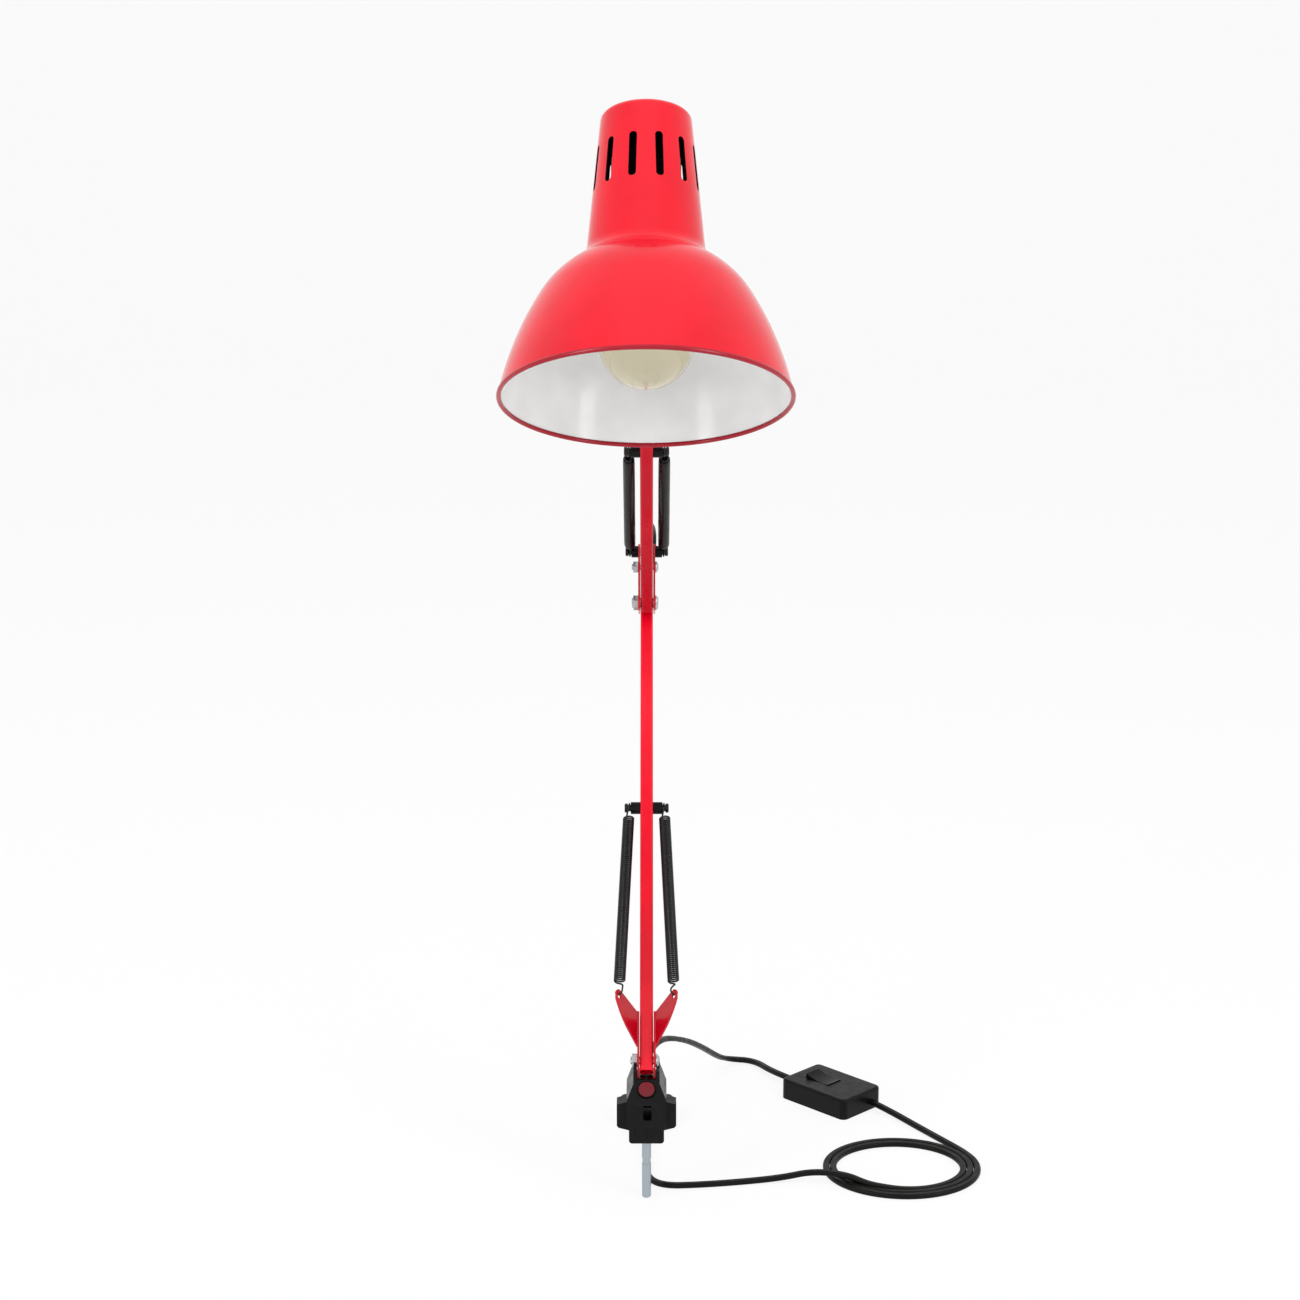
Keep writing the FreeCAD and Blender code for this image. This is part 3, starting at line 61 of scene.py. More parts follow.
FLOOR = -38.5
LEAN, RISE = math.radians(42.9), math.radians(56.6)
LOWER_WAY = Vector((0, math.sin(LEAN), math.cos(LEAN)))
UPPER_WAY = Vector((0, -math.cos(RISE), math.sin(RISE)))
BASE_FRONT = Vector((0, -3, 50.4))
LOWER_PAIR, UPPER_PAIR = Vector((0, 17, -6)), Vector((0, 8, 20.6))
ELBOW_FRONT = BASE_FRONT + LOWER_WAY * 315.6
ELBOW_REAR = ELBOW_FRONT + LOWER_PAIR
ELBOW_LOW = ELBOW_FRONT + Vector((0, -19, 5))
ELBOW_HIGH = ELBOW_LOW + UPPER_PAIR
ELBOW_ROD = ELBOW_HIGH + Vector((0, 9, 8.2))
HEAD_LOW = ELBOW_LOW + UPPER_WAY * 300
TILT = HEAD_LOW + Vector((0, -23.4, -8.8))
LOWER_ROD = BASE_FRONT + LOWER_WAY * 167
UPPER_ROD = ELBOW_LOW + UPPER_WAY * 132
SHADE_TURN = Matrix.Rotation(math.radians(-28.2), 4, "X")
SHADE_AT = TILT - SHADE_TURN.to_3x3() @ Vector((0, 55, 104))
SHADE_FRAME = Matrix.Translation(SHADE_AT * MM) @ SHADE_TURN
GROOVE_AT = 10.9

scene = bpy.context.scene


# ---------- materials ----------

class Shader:
    """A node material: principled surface, with colour, roughness and bump from textures in object space."""

    def __init__(self, name, color, roughness, metallic=0.0, **sockets):
        self.material = bpy.data.materials.new(name)
        self.material.use_nodes = True
        self.tree = self.material.node_tree
        self.surface = self.tree.nodes["Principled BSDF"]
        self.set(self.surface, {"Base Color": (*color, 1), "Roughness": roughness, "Metallic": metallic})
        self.set(self.surface, sockets)
        self.color = color
        self.coords = self.node("ShaderNodeTexCoord")
        self.height = None

    def set(self, node, values):
        for name, number in values.items():
            node.inputs[name].default_value = number

    def node(self, kind, **values):
        node = self.tree.nodes.new(kind)
        self.set(node, values)
        return node

    def link(self, start, end):
        self.tree.links.new(start, end)

    def noise(self, scale, detail=4.0, stretch=(1, 1, 1), distortion=0.0):
        place = self.node("ShaderNodeMapping")
        place.inputs["Scale"].default_value = stretch
        self.link(self.coords.outputs["Object"], place.inputs["Vector"])
        noise = self.node("ShaderNodeTexNoise", Scale=scale, Detail=detail, Distortion=distortion)
        self.link(place.outputs["Vector"], noise.inputs["Vector"])
        return noise.outputs["Fac"]

    def ramp(self, fac, low, high, start=0.35, end=0.65):
        ramp = self.node("ShaderNodeMapRange")
        self.set(ramp, {"From Min": start, "From Max": end, "To Min": low, "To Max": high})
        self.link(fac, ramp.inputs["Value"])
        return ramp.outputs["Result"]

    def tint(self, fac, low, high, start=0.35, end=0.65):
        """Base colour that runs between two colours with fac."""
        mix = self.node("ShaderNodeMix")
        mix.data_type = "RGBA"
        mix.inputs[6].default_value = (*low, 1)
        mix.inputs[7].default_value = (*high, 1)
        self.link(self.ramp(fac, 0, 1, start, end), mix.inputs[0])
        self.link(mix.outputs[2], self.surface.inputs["Base Color"])
        return mix

    def rough(self, fac, low, high, start=0.35, end=0.65):
        self.link(self.ramp(fac, low, high, start, end), self.surface.inputs["Roughness"])

    def bump(self, fac, strength, distance):
        bump = self.node("ShaderNodeBump", Strength=strength, Distance=distance)
        self.link(fac, bump.inputs["Height"])
        if self.height is not None:
            self.link(self.height, bump.inputs["Normal"])
        self.height = bump.outputs["Normal"]
        self.link(self.height, self.surface.inputs["Normal"])


def scaled(color, share):
    return tuple(c * share for c in color)


def enamel(name, color, rough=0.22):
    """Gloss paint with faint orange peel, dust and uneven gloss."""
    look = Shader(name, color, rough, **{"Coat Weight": 0.12, "Coat Roughness": 0.05, "Specular IOR Level": 0.3})
    look.tint(look.noise(24, 3), scaled(color, 0.93), scaled(color, 1.05))
    look.rough(look.noise(60, 4), rough * 0.85, rough * 1.2)
    look.bump(look.noise(260, 2), 0.012, 0.0003)
    return look.material


def moulded(name, color, rough, grain=900, depth=0.12):
    """Moulded plastic with a fine spark-eroded grain and faint scuffs."""
    look = Shader(name, color, rough, **{"Specular IOR Level": 0.14})
    look.tint(look.noise(60, 4), scaled(color, 0.8), scaled(color, 1.3))
    look.rough(look.noise(210, 6, distortion=0.4), rough * 0.85, rough * 1.2)
    look.bump(look.noise(grain, 3), depth, 0.0003)
    return look.material


def metal(name, color, rough, stretch=(1, 1, 1), depth=0.08):
    look = Shader(name, color, rough, metallic=1.0)
    look.tint(look.noise(90, 4, stretch), scaled(color, 0.82), scaled(color, 1.08))
    look.rough(look.noise(400, 5, stretch), rough * 0.7, rough * 1.5)
    look.bump(look.noise(700, 3, stretch), depth, 0.0002)
    return look.material


RED = (0.80, 0.0015, 0.018)
MAT = {
    "red": enamel("red_enamel", RED),
    "shade_red": enamel("shade_enamel", (0.74, 0.0015, 0.016), 0.16),
    # Painted shade: a darker copy of the shade's red, for the rolled rim.
    "bead_in_painted_shade": enamel("bead_painted_shade_enamel", (0.36, 0.0006, 0.014), 0.2),
    # Painted shade: a dark red for the stud, which sits shaded in its recess.
    "stud_in_painted_shade": enamel("stud_painted_shade_enamel", (0.17, 0.001, 0.009), 0.3),
    # Painted shade: a darker copy of the red enamel, for parts that face away from the lamps or lie under the bars.
    "red_in_painted_shade": enamel("upper_arm_painted_shade", (0.5, 0.0008, 0.012), 0.24),
    "shade_white": enamel("shade_white_enamel", (0.92, 0.92, 0.92), 0.2),
    "black": moulded("black_moulding", (0.0045, 0.0045, 0.005), 0.36),
    "switch_black": moulded("switch_moulding", (0.0025, 0.0025, 0.0025), 0.34, 1400, 0.1),
    "holder": moulded("phenolic_black", (0.004, 0.0038, 0.0036), 0.25, 700, 0.05),
    # Painted shade: black for the inside of the neck, which lies in darkness behind the slots.
    "neck_painted_shade": moulded("neck_painted_shade_black", (0.006, 0.0055, 0.005), 0.6, 500, 0.1),
    "sheath": moulded("lead_sheath", (0.003, 0.0028, 0.0025), 0.4, 500, 0.08),
    "sleeve": moulded("spring_sleeve", (0.0035, 0.0035, 0.004), 0.28, 600, 0.05),
    "cream": moulded("cream_ceramic", (0.74, 0.62, 0.42), 0.2, 260, 0.04),
    "zinc": metal("zinc_plating", (0.36, 0.42, 0.45), 0.32, (1, 1, 0.06)),
    "nickel": metal("nickel_plating", (0.5, 0.51, 0.51), 0.22),
    "spring": enamel("black_spring_wire", (0.0035, 0.0035, 0.004), 0.3),
    "brass": metal("lamp_cap_metal", (0.78, 0.74, 0.66), 0.26, (1, 1, 1)),
    "tungsten": metal("tungsten_wire", (0.35, 0.33, 0.31), 0.45),
}


def glass(name, tint, rough=0.0, transmission=1.0):
    look = Shader(name, tint, rough, **{"Transmission Weight": transmission, "IOR": 1.45})
    look.bump(look.noise(30, 2), 0.03, 0.0006)
    return look.material


MAT["glass"] = glass("bulb_glass_amber", (0.95, 0.91, 0.77))
MAT["stem_glass"] = glass("stem_glass_clear", (0.95, 0.92, 0.86))


# ---------- mesh helpers ----------

def put(name, data):
    """A new object with this data, in the scene."""
    piece = bpy.data.objects.new(name, data)
    scene.collection.objects.link(piece)
    return piece


def smooth(mesh, limit=35):
    """Smooth shading, broken at edges sharper than limit degrees."""
    bm = bmesh.new()
    bm.from_mesh(mesh)
    for face in bm.faces:
        face.smooth = True
    for edge in bm.edges:
        edge.smooth = len(edge.link_faces) == 2 and edge.calc_face_angle(0) < math.radians(limit)
    bm.to_mesh(mesh)
    bm.free()


def apply_modifiers(piece):
    graph = bpy.context.evaluated_depsgraph_get()
    mesh = bpy.data.meshes.new_from_object(piece.evaluated_get(graph), depsgraph=graph)
    piece.modifiers.clear()
    piece.data = mesh
    return mesh


def refined(node, material, bevel=0.25, segments=2, limit=30):
    """A CAD node's own form with softened edges and smooth shading, in its place."""
    source = frame["nodes"][node]
    bm = bmesh.new()
    bm.from_mesh(source.data)
    bmesh.ops.remove_doubles(bm, verts=bm.verts, dist=2e-6)
    bmesh.ops.dissolve_limit(bm, angle_limit=math.radians(0.6), verts=bm.verts, edges=bm.edges)
    mesh = bpy.data.meshes.new(node + "_form")
    bm.to_mesh(mesh)
    bm.free()
    piece = put(node + "_form", mesh)
    if bevel:
        rounding = piece.modifiers.new("edges", "BEVEL")
        rounding.width = bevel * MM
        rounding.segments = segments
        rounding.limit_method = "ANGLE"
        rounding.angle_limit = math.radians(limit)
        rounding.use_clamp_overlap = True
        rounding.miter_outer = "MITER_ARC"
        bpy.context.view_layer.update()
        mesh = apply_modifiers(piece)
    mesh.materials.clear()
    mesh.materials.append(MAT[material])
    smooth(mesh, 40)
    even = piece.modifiers.new("normals", "WEIGHTED_NORMAL")
    even.weight = 100
    even.keep_sharp = True
    bpy.context.view_layer.update()
    apply_modifiers(piece)
    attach(piece, body_of[node])
    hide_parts(node)
    return piece


body_of = {n: b for b, names in frame["record"]["behaviour"]["bodies"].items() for n in names}


def turned(name, profile, sides=96, closed=False):
    """Mesh of revolution about +Z from (radius, height) pairs."""
    bm = bmesh.new()
    rings = []
    for radius, height in profile:
        if radius < 1e-6:
            rings.append([bm.verts.new((0, 0, height * MM))])
            continue
        ring = []
        for i in range(sides):
            angle = 2 * math.pi * i / sides
            ring.append(bm.verts.new((radius * MM * math.cos(angle), radius * MM * math.sin(angle), height * MM)))
        rings.append(ring)
    pairs = list(zip(rings, rings[1:]))
    if closed:
        pairs.append((rings[-1], rings[0]))
    for low, high in pairs:
        if len(low) == 1 and len(high) == 1:
            continue
        for i in range(sides):
            j = (i + 1) % sides
            if len(low) == 1:
                bm.faces.new((low[0], high[j], high[i]))
            elif len(high) == 1:
                bm.faces.new((low[i], low[j], high[0]))
            else:
                bm.faces.new((low[i], low[j], high[j], high[i]))
    bmesh.ops.recalc_face_normals(bm, faces=bm.faces)
    mesh = bpy.data.meshes.new(name)
    bm.to_mesh(mesh)
    bm.free()
    smooth(mesh)
    return mesh


def arc(start, heading, end, steps):
    """Points of the arc that leaves start along heading (both 2-D) and ends at end."""
    chord = end - start
    normal = Vector((-heading.y, heading.x))
    side = chord.dot(normal)
    if abs(side) < 1e-9:
        return [start.lerp(end, i / steps) for i in range(1, steps + 1)], heading
    radius = chord.length_squared / (2 * side)
    centre = start + normal * radius
    sweep = 2 * math.atan2(side, chord.dot(heading))
    spoke = start - centre
    points = []
    for i in range(1, steps + 1):
        turn = sweep * i / steps
        points.append(centre + Vector((spoke.x * math.cos(turn) - spoke.y * math.sin(turn),
                                       spoke.x * math.sin(turn) + spoke.y * math.cos(turn))))
    final = Vector((heading.x * math.cos(sweep) - heading.y * math.sin(sweep),
                    heading.x * math.sin(sweep) + heading.y * math.cos(sweep)))
    return points, final


def swept(name, points, radius, sides=8, closed_ends=True):
    """Tube mesh of a wire through points, carried along without twist."""
    bm = bmesh.new()
    tangent = (points[1] - points[0]).normalized()
    normal = tangent.orthogonal().normalized()
    rings = []
    for i, point in enumerate(points):
        ahead = points[min(i + 1, len(points) - 1)] - points[max(i - 1, 0)]
        fresh = ahead.normalized()
        normal = (normal - fresh * normal.dot(fresh)).normalized()
        other = fresh.cross(normal)
        ring = []
        for k in range(sides):
            angle = 2 * math.pi * k / sides
            ring.append(bm.verts.new((point + (normal * math.cos(angle) + other * math.sin(angle)) * radius) * MM))
        rings.append(ring)
    for low, high in zip(rings, rings[1:]):
        for k in range(sides):
            j = (k + 1) % sides
            bm.faces.new((low[k], low[j], high[j], high[k]))
    if closed_ends:
        bm.faces.new(rings[0][::-1])
        bm.faces.new(rings[-1])
    mesh = bpy.data.meshes.new(name)
    bm.to_mesh(mesh)
    bm.free()
    smooth(mesh, 60)
    return mesh


# ---------- shade ----------

# The shade's own frame has its rim at 0 and its crown at SHADE_HEIGHT.
RIM_RADIUS, SHADE_HEIGHT, SHADE_WALL = 78.5, 162, 1.0
BELL, NECK_FOOT, NECK = Vector((58.3, 54)), Vector((37.2, 76)), Vector((31.8, 84.9))
CROWN, CROWN_TOP = Vector((25, 158)), Vector((21, SHADE_HEIGHT))
RIM_CURVE = 185
BEAD_AT, BEAD_RADIUS = 78.0, 1.3
SLOT_COUNT, SLOT_HALF, SLOT_LOW, SLOT_HIGH = 12, 2.15, 115.0, 141.5
SLOT_FROM, SLOT_TO = 18, 40
# Inner faces above this height are painted black, a painted shade for the dark inside of the neck.
NECK_SHADE_PAINT_FROM = 104

def shade_profile():
    """Outside of the shade from rim to crown, as (radius, height)."""
    start = Vector((RIM_RADIUS, 0))
    chord = BELL - start
    half = math.asin(chord.length / 2 / RIM_CURVE)
    angle = math.atan2(chord.y, chord.x) - half
    heading = Vector((math.cos(angle), math.sin(angle)))
    points = [start]
    first, heading = arc(start, heading, BELL, 14)
    second, heading = arc(BELL, heading, NECK_FOOT, 14)
    third, heading = arc(NECK_FOOT, heading, NECK, 10)
    points += first + second + third
    points += [NECK.lerp(CROWN, i / 8) for i in range(1, 9)]
    last, heading = arc(CROWN, (CROWN - NECK).normalized(), CROWN_TOP, 8)
    return points + last + [Vector((0, SHADE_HEIGHT))]


def shade_shell():
    """Spun shade with its slots: red outside, white inside, and black inside the neck as painted shade."""
    outside = shade_profile()
    inside = []
    for i, point in enumerate(outside):
        before, after = outside[max(i - 1, 0)], outside[min(i + 1, len(outside) - 1)]
        way = (after - before).normalized()
        inside.append(point - Vector((way.y, -way.x)) * SHADE_WALL)
    inside[-1].x = 0
    mesh = turned("shade_form", [tuple(p) for p in outside + inside[::-1]], 192, closed=True)
    shell = put("shade_form", mesh)
    cutter = slot_cutter()
    opening = shell.modifiers.new("slots", "BOOLEAN")
    opening.operation = "DIFFERENCE"
    opening.solver = "EXACT"
    opening.object = cutter
    bpy.context.view_layer.update()
    mesh = apply_modifiers(shell)
    bpy.data.objects.remove(cutter)
    mesh.materials.clear()
    mesh.materials.append(MAT["shade_red"])
    mesh.materials.append(MAT["shade_white"])
    mesh.materials.append(MAT["neck_painted_shade"])
    for face in mesh.polygons:
        spoke = Vector((face.center.x, face.center.y, 0))
        if face.center.z > (SHADE_HEIGHT - 1.5) * MM:
            inner = face.normal.z < 0
        else:
            inner = face.normal.dot(spoke) < 0 and spoke.length > 2 * MM
        # Faces high inside the neck get the black painted shade.
        in_neck_shade = face.center.z > NECK_SHADE_PAINT_FROM * MM
        face.material_index = (2 if in_neck_shade else 1) if inner else 0
    smooth(mesh, 30)
    mesh.transform(SHADE_FRAME)
    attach(shell, "shade")
    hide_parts("shade")
    return shell


def slot_cutter():
    """Round-ended slots round the neck, as one cutting mesh."""
    bm = bmesh.new()
    half, low, high = SLOT_HALF, SLOT_LOW, SLOT_HIGH
    for i in range(SLOT_COUNT):
        angle = math.radians((i + 0.5) * 360 / SLOT_COUNT)
        out = Vector((math.sin(angle), -math.cos(angle), 0))
        side = Vector((math.cos(angle), math.sin(angle), 0))
        outline = []
        for k in range(13):
            turn = math.pi * k / 12
            outline.append((half * math.cos(turn), high - half + half * math.sin(turn)))
        for k in range(13):
            turn = math.pi + math.pi * k / 12
            outline.append((half * math.cos(turn), low + half + half * math.sin(turn)))
        inner = [bm.verts.new((out * SLOT_FROM + side * x + Vector((0, 0, z))) * MM) for x, z in outline]
        outer = [bm.verts.new((out * SLOT_TO + side * x + Vector((0, 0, z))) * MM) for x, z in outline]
        count = len(outline)
        for k in range(count):
            j = (k + 1) % count
            bm.faces.new((inner[k], inner[j], outer[j], outer[k]))
        bm.faces.new(inner)
        bm.faces.new(outer[::-1])
    bmesh.ops.recalc_face_normals(bm, faces=bm.faces)
    mesh = bpy.data.meshes.new("slot_cutter")
    bm.to_mesh(mesh)
    bm.free()
    cutter = put("slot_cutter", mesh)
    return cutter


def shade_piece(name, profile, material, sides=96, closed=False, nodes=()):
    """A turned piece in the shade's frame, which rides on the shade."""
    piece = put(name, turned(name, profile, sides, closed))
    piece.data.materials.append(MAT[material])
    piece.data.transform(SHADE_FRAME)
    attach(piece, "shade")
    if nodes:
        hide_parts(*nodes)
    return piece


shade_shell()
# The rolled rim takes the red with painted shade.
bead = [(BEAD_AT + BEAD_RADIUS * math.cos(math.pi * k / 8), BEAD_RADIUS * math.sin(math.pi * k / 8))
        for k in range(16)]
shade_piece("rim_bead", bead, "bead_in_painted_shade", 192, closed=True)


# ---------- bulb and lampholder ----------

GLOBE_RADIUS, GLOBE_AT, GLASS_NECK, GLASS_WALL = 25.8, 31.8, 14.0, 0.7
CAP_RADIUS, THREAD_DEPTH, THREAD_PITCH = 12.75, 0.42, 3.6
HOLDER_RADIUS, SKIRT_RADIUS, SKIRT_BORE = 19, 16.8, 13.6


def globe_profile(radius, neck, shrink=0.0):
    """Outline of the bulb's glass from its tip to its cap, as (radius, height)."""
    points = []
    for k in range(0, 25):
        angle = -math.pi / 2 + math.radians(5.2) * k
        points.append(((radius - shrink) * math.cos(angle), GLOBE_AT + (radius - shrink) * math.sin(angle)))
    start = Vector(points[-1])
    end = Vector((neck - shrink, 70))
    for k in range(1, 11):
        t = k / 10
        bow = math.sin(math.pi * t) * -1.5
        points.append((start.x + (end.x - start.x) * t + bow, start.y + (end.y - start.y) * t))
    points.append((neck - shrink - 1.2, 78))
    points.append((neck - shrink - 2.0, 82.0))
    return points


outer = globe_profile(GLOBE_RADIUS, GLASS_NECK)
inner = globe_profile(GLOBE_RADIUS, GLASS_NECK, GLASS_WALL)
shade_piece("bulb_glass_form", outer + inner[::-1], "glass", 96, nodes=("bulb_glass",))

thread = []
for k in range(0, 85):
    height = 83.0 + k * 0.25
    radius = CAP_RADIUS + THREAD_DEPTH * math.cos(2 * math.pi * (height - 83) / THREAD_PITCH)
    thread.append((radius if height < 100 else CAP_RADIUS - (height - 100) * 1.5, height))
cap = [(0, 82.2), (12.9, 82.2), (12.9, 83)] + thread + [(4.4, 105.2), (4.4, 106), (0, 106)]
shade_piece("bulb_cap_form", cap, "brass", 72, nodes=("bulb_cap",))
stem = [(0, 40), (0.9, 40.1), (1.3, 44), (1.5, 56), (2.2, 62), (4.4, 74), (5, 80.5), (0, 80.5)]
shade_piece("bulb_stem_form", stem, "stem_glass", 32, nodes=("bulb_stem",))


def filament():
    """Support wires that fan out from the stem, and the coiled filament across their tips."""
    parts = []
    arms = 5
    tips = []
    for i in range(arms):
        angle = math.radians(-120 + 60 * i)
        tips.append(Vector((10.5 * math.sin(angle), -10.5 * math.cos(angle), 33 + (i % 2) * 1.5)))
    root = Vector((0, 0, 41))
    for tip in tips:
        middle = Vector((tip.x * 0.3, tip.y * 0.3, 39.5))
        parts.append(([root, middle, tip], 0.16))
    coil = []
    for a, b in zip(tips, tips[1:]):
        way = (b - a).normalized()
        side = way.cross(Vector((0, 0, 1))).normalized()
        for k in range(90):
            t = k / 90
            turn = 2 * math.pi * 15 * t
            sag = Vector((0, 0, -1.2 * math.sin(math.pi * t)))
            coil.append(a.lerp(b, t) + sag + (side * math.cos(turn) + Vector((0, 0, 1)) * math.sin(turn)) * 0.28)
    parts.append((coil, 0.09))
    bm = bmesh.new()
    for points, radius in parts:
        mesh = swept("filament_run", points, radius, 6)
        bm.from_mesh(mesh)
        bpy.data.meshes.remove(mesh)
    mesh = bpy.data.meshes.new("bulb_filament")
    bm.to_mesh(mesh)
    bm.free()
    piece = put("bulb_filament", mesh)
    mesh.materials.append(MAT["tungsten"])
    mesh.transform(SHADE_FRAME)
    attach(piece, "shade")


filament()

ring = [(SKIRT_BORE, 87.2), (14.2, 87), (16.2, 87), (SKIRT_RADIUS, 87.7)]
for k in range(0, 44):
    height = 88.5 + k * 0.7
    ring.append((SKIRT_RADIUS - (0.35 if k % 6 in (4, 5) and k > 8 else 0), height))
ring += [(SKIRT_RADIUS, 121), (SKIRT_BORE, 121)]
shade_piece("lampholder_skirt_form", ring, "cream", 96, closed=True, nodes=("lampholder_skirt",))
holder = [(0, 106.1), (9, 106.1), (9, 121), (18.2, 121), (HOLDER_RADIUS, 121.8), (HOLDER_RADIUS, 132),
          (18.5, 132.4), (18.5, 133.2), (HOLDER_RADIUS, 133.6), (HOLDER_RADIUS, 157), (18.3, 159.4), (16, 161),
          (0, 161)]
shade_piece("lampholder_form", holder, "holder", 96, nodes=("lampholder",))


# ---------- springs ----------

# Hook radii, straight lengths before the coil, its turns and radius, and the wire's radius.
LOWER_SPRING = {"low_hook": 2.4, "high_hook": 2.8, "start": 7.0, "end": 7.5, "turns": 84, "radius": 3.1, "wire": 0.54}
UPPER_SPRING = {"low_hook": 2.8, "high_hook": 2.8, "start": 7.0, "end": 7.0, "turns": 52, "radius": 2.35, "wire": 0.6}
# Shares of a spring's length, passed to spring() with two bodies as blend; spring() doesn't use them.
BEND_FROM, BEND_TO = 0.1, 0.55
SLEEVE_RADIUS, SLEEVE_BORE, SLEEVE_PLAY = 3.65, 3.1, 8.6

def hook_points(eye, inward, across, radius, steps=14):
    """Half hook from its tip round to the shank's side."""
    points = []
    for k in range(steps + 1):
        angle = math.pi * k / steps
        points.append(eye + across * (radius * math.cos(angle)) - inward * (radius * math.sin(angle)))
    return points


def eased(start, heading, end, final, steps=8):
    """Hermite curve between two wire ends."""
    span = (end - start).length
    points = []
    for k in range(1, steps + 1):
        t = k / steps
        a, b = 2 * t ** 3 - 3 * t ** 2 + 1, t ** 3 - 2 * t ** 2 + t
        c, d = -2 * t ** 3 + 3 * t ** 2, t ** 3 - t ** 2
        points.append(start * a + heading * (span * b) + end * c + final * (span * d))
    return points


def coil_points(low, axis, length, radius, turns, per_turn=18):
    side = axis.cross(Vector((1, 0, 0))).normalized()
    other = axis.cross(side)
    points = []
    for k in range(int(turns * per_turn) + 1):
        t = k / (turns * per_turn)
        angle = 2 * math.pi * turns * t
        points.append(low + axis * (length * t) + (side * math.cos(angle) + other * math.sin(angle)) * radius)
    return points


def spring(name, low, high, low_across, node, blend, low_hook, high_hook, start, end, turns, radius, wire):
    """Extension spring: a close coil with a half hook at each end, from one wire."""
    axis = (high - low).normalized()
    length = (high - low).length
    side = axis.cross(Vector((1, 0, 0))).normalized()
    coil = coil_points(low + axis * start, axis, length - start - end, radius, turns)
    low_end = hook_points(low, axis, low_across, low_hook)
    high_end = hook_points(high, -axis, side, high_hook)[::-1]
    into = (coil[1] - coil[0]).normalized()
    out = (coil[-1] - coil[-2]).normalized()
    line = low_end + eased(low_end[-1], axis, coil[0], into) + coil[1:]
    line += eased(coil[-1], out, high_end[0], axis) + high_end[1:]
    mesh = swept(name, line, wire, 10)
    mesh.materials.append(MAT["spring"])
    piece = put(name, mesh)
    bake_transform(piece)
    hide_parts(node)
    return piece


WING_FROM = BASE_FRONT + Vector((0, -2, 10.2))
WING_WAY = Vector((0, 17, 15.7)).normalized()


def wing_hole(side):
    """Middle of an ear's hook hole and the ear's normal."""
    level = -WING_WAY.cross(Vector((1, 0, 0)))
    swing = math.radians(37.6)
    out = Vector((side * math.sin(swing), 0, 0)) + level * math.cos(swing)
    normal = WING_WAY.cross(out)
    root = WING_FROM + Vector((side * 5.5, 0, 0))
    return root + WING_WAY * 26.5 + out * 17.3 + normal * (0.6 * side), normal * side


for side, word in ((1, "right"), (-1, "left")):
    hole, normal = wing_hole(side)
    top = LOWER_ROD + Vector((side * GROOVE_AT, 0, 0))
    axis = (top - hole).normalized()
    across = (normal - axis * normal.dot(axis)).normalized()
    eye = hole + axis * 3.3
    way = top - eye
    spring("lower_spring_%s_coil" % word, eye, top, across, "lower_spring_" + word,
           ("base", "lower_front", mm(*(eye - way * BEND_FROM)), mm(*(eye + way * BEND_TO))), **LOWER_SPRING)


def sleeve(low, high, name):
    """Shrunk sleeve over an upper spring, faintly ridged by the coils in it and open at both ends."""
    axis = (high - low).normalized()
    length = (high - low).length
    steps = 120
    outer, inner = [], []
    for k in range(steps + 1):
        t = k / steps
        height = SLEEVE_PLAY + (length - 2 * SLEEVE_PLAY) * t
        wave = 0.03 * math.cos(2 * math.pi * height / 1.9)
        lip = -0.25 * math.exp(-min(t, 1 - t) * 60)
        outer.append((SLEEVE_RADIUS + wave + lip, height))
        inner.append((SLEEVE_BORE, height))
    mesh = turned(name, outer + inner[::-1], 48, closed=True)
    piece = put(name, mesh)
    mesh.materials.append(MAT["sleeve"])
    turn = Vector((0, 0, 1)).rotation_difference(axis).to_matrix().to_4x4()
    mesh.transform(Matrix.Translation(low * MM) @ turn)
    return piece


for side, word in ((1, "right"), (-1, "left")):
    low = ELBOW_ROD + Vector((side * GROOVE_AT, 0, 0))
    high = UPPER_ROD + Vector((side * GROOVE_AT, 0, 0))
    way = high - low
    axis = way.normalized()
    bend = ("elbow", "upper_front", mm(*(low - way * BEND_FROM)), mm(*(low + way * BEND_TO)))
    across = axis.cross(Vector((1, 0, 0))).normalized()
    spring("upper_spring_%s_coil" % word, low, high, across, "upper_spring_" + word, bend, **UPPER_SPRING)
    piece = sleeve(low, high, "spring_sleeve_" + word)
    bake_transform(piece)
    if side == 1:
        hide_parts("upper_spring_sleeves")


# ---------- arms, plates, fasteners, foot ----------

for node in ("lower_front_bar", "lower_rear_bar"):
    refined(node, "red", 0.12, 1)
# The upper bars, the plates and the bracket take the red with painted shade.
for node in ("upper_front_bar", "upper_rear_bar"):
    refined(node, "red_in_painted_shade", 0.12, 1)
for node in ("elbow_plates", "head_plates", "base_bracket"):
    refined(node, "red_in_painted_shade", 0.22, 2)
refined("shade_stem", "red", 0.4, 2)
# The stud takes the dark red of painted shade.
refined("block_stud", "stud_in_painted_shade", 0.2, 2)
for node in ("base_bolts", "elbow_bolts", "head_bolts", "base_nuts", "elbow_nuts", "head_nuts"):
    refined(node, "nickel", 0.18, 2)
refined("plug_pins", "nickel", 0.12, 2)
for node in ("lower_spring_rod", "upper_spring_rod", "elbow_spring_rod"):
    refined(node, "spring", 0.12, 2)
for node in ("lower_rod_sleeves", "upper_rod_sleeves", "elbow_rod_sleeves"):
    refined(node, "sleeve", 0.2, 2)
refined("spigot", "zinc", 0.1, 1)
refined("shade_rivets", "nickel", 0.3, 3)
refined("base_block", "black", 0.45, 3)
refined("plug_body", "switch_black", 0.8, 3)
refined("switch_body", "switch_black", 1.6, 4)
refined("switch_rocker", "switch_black", 0.4, 3)


# ---------- leads ----------

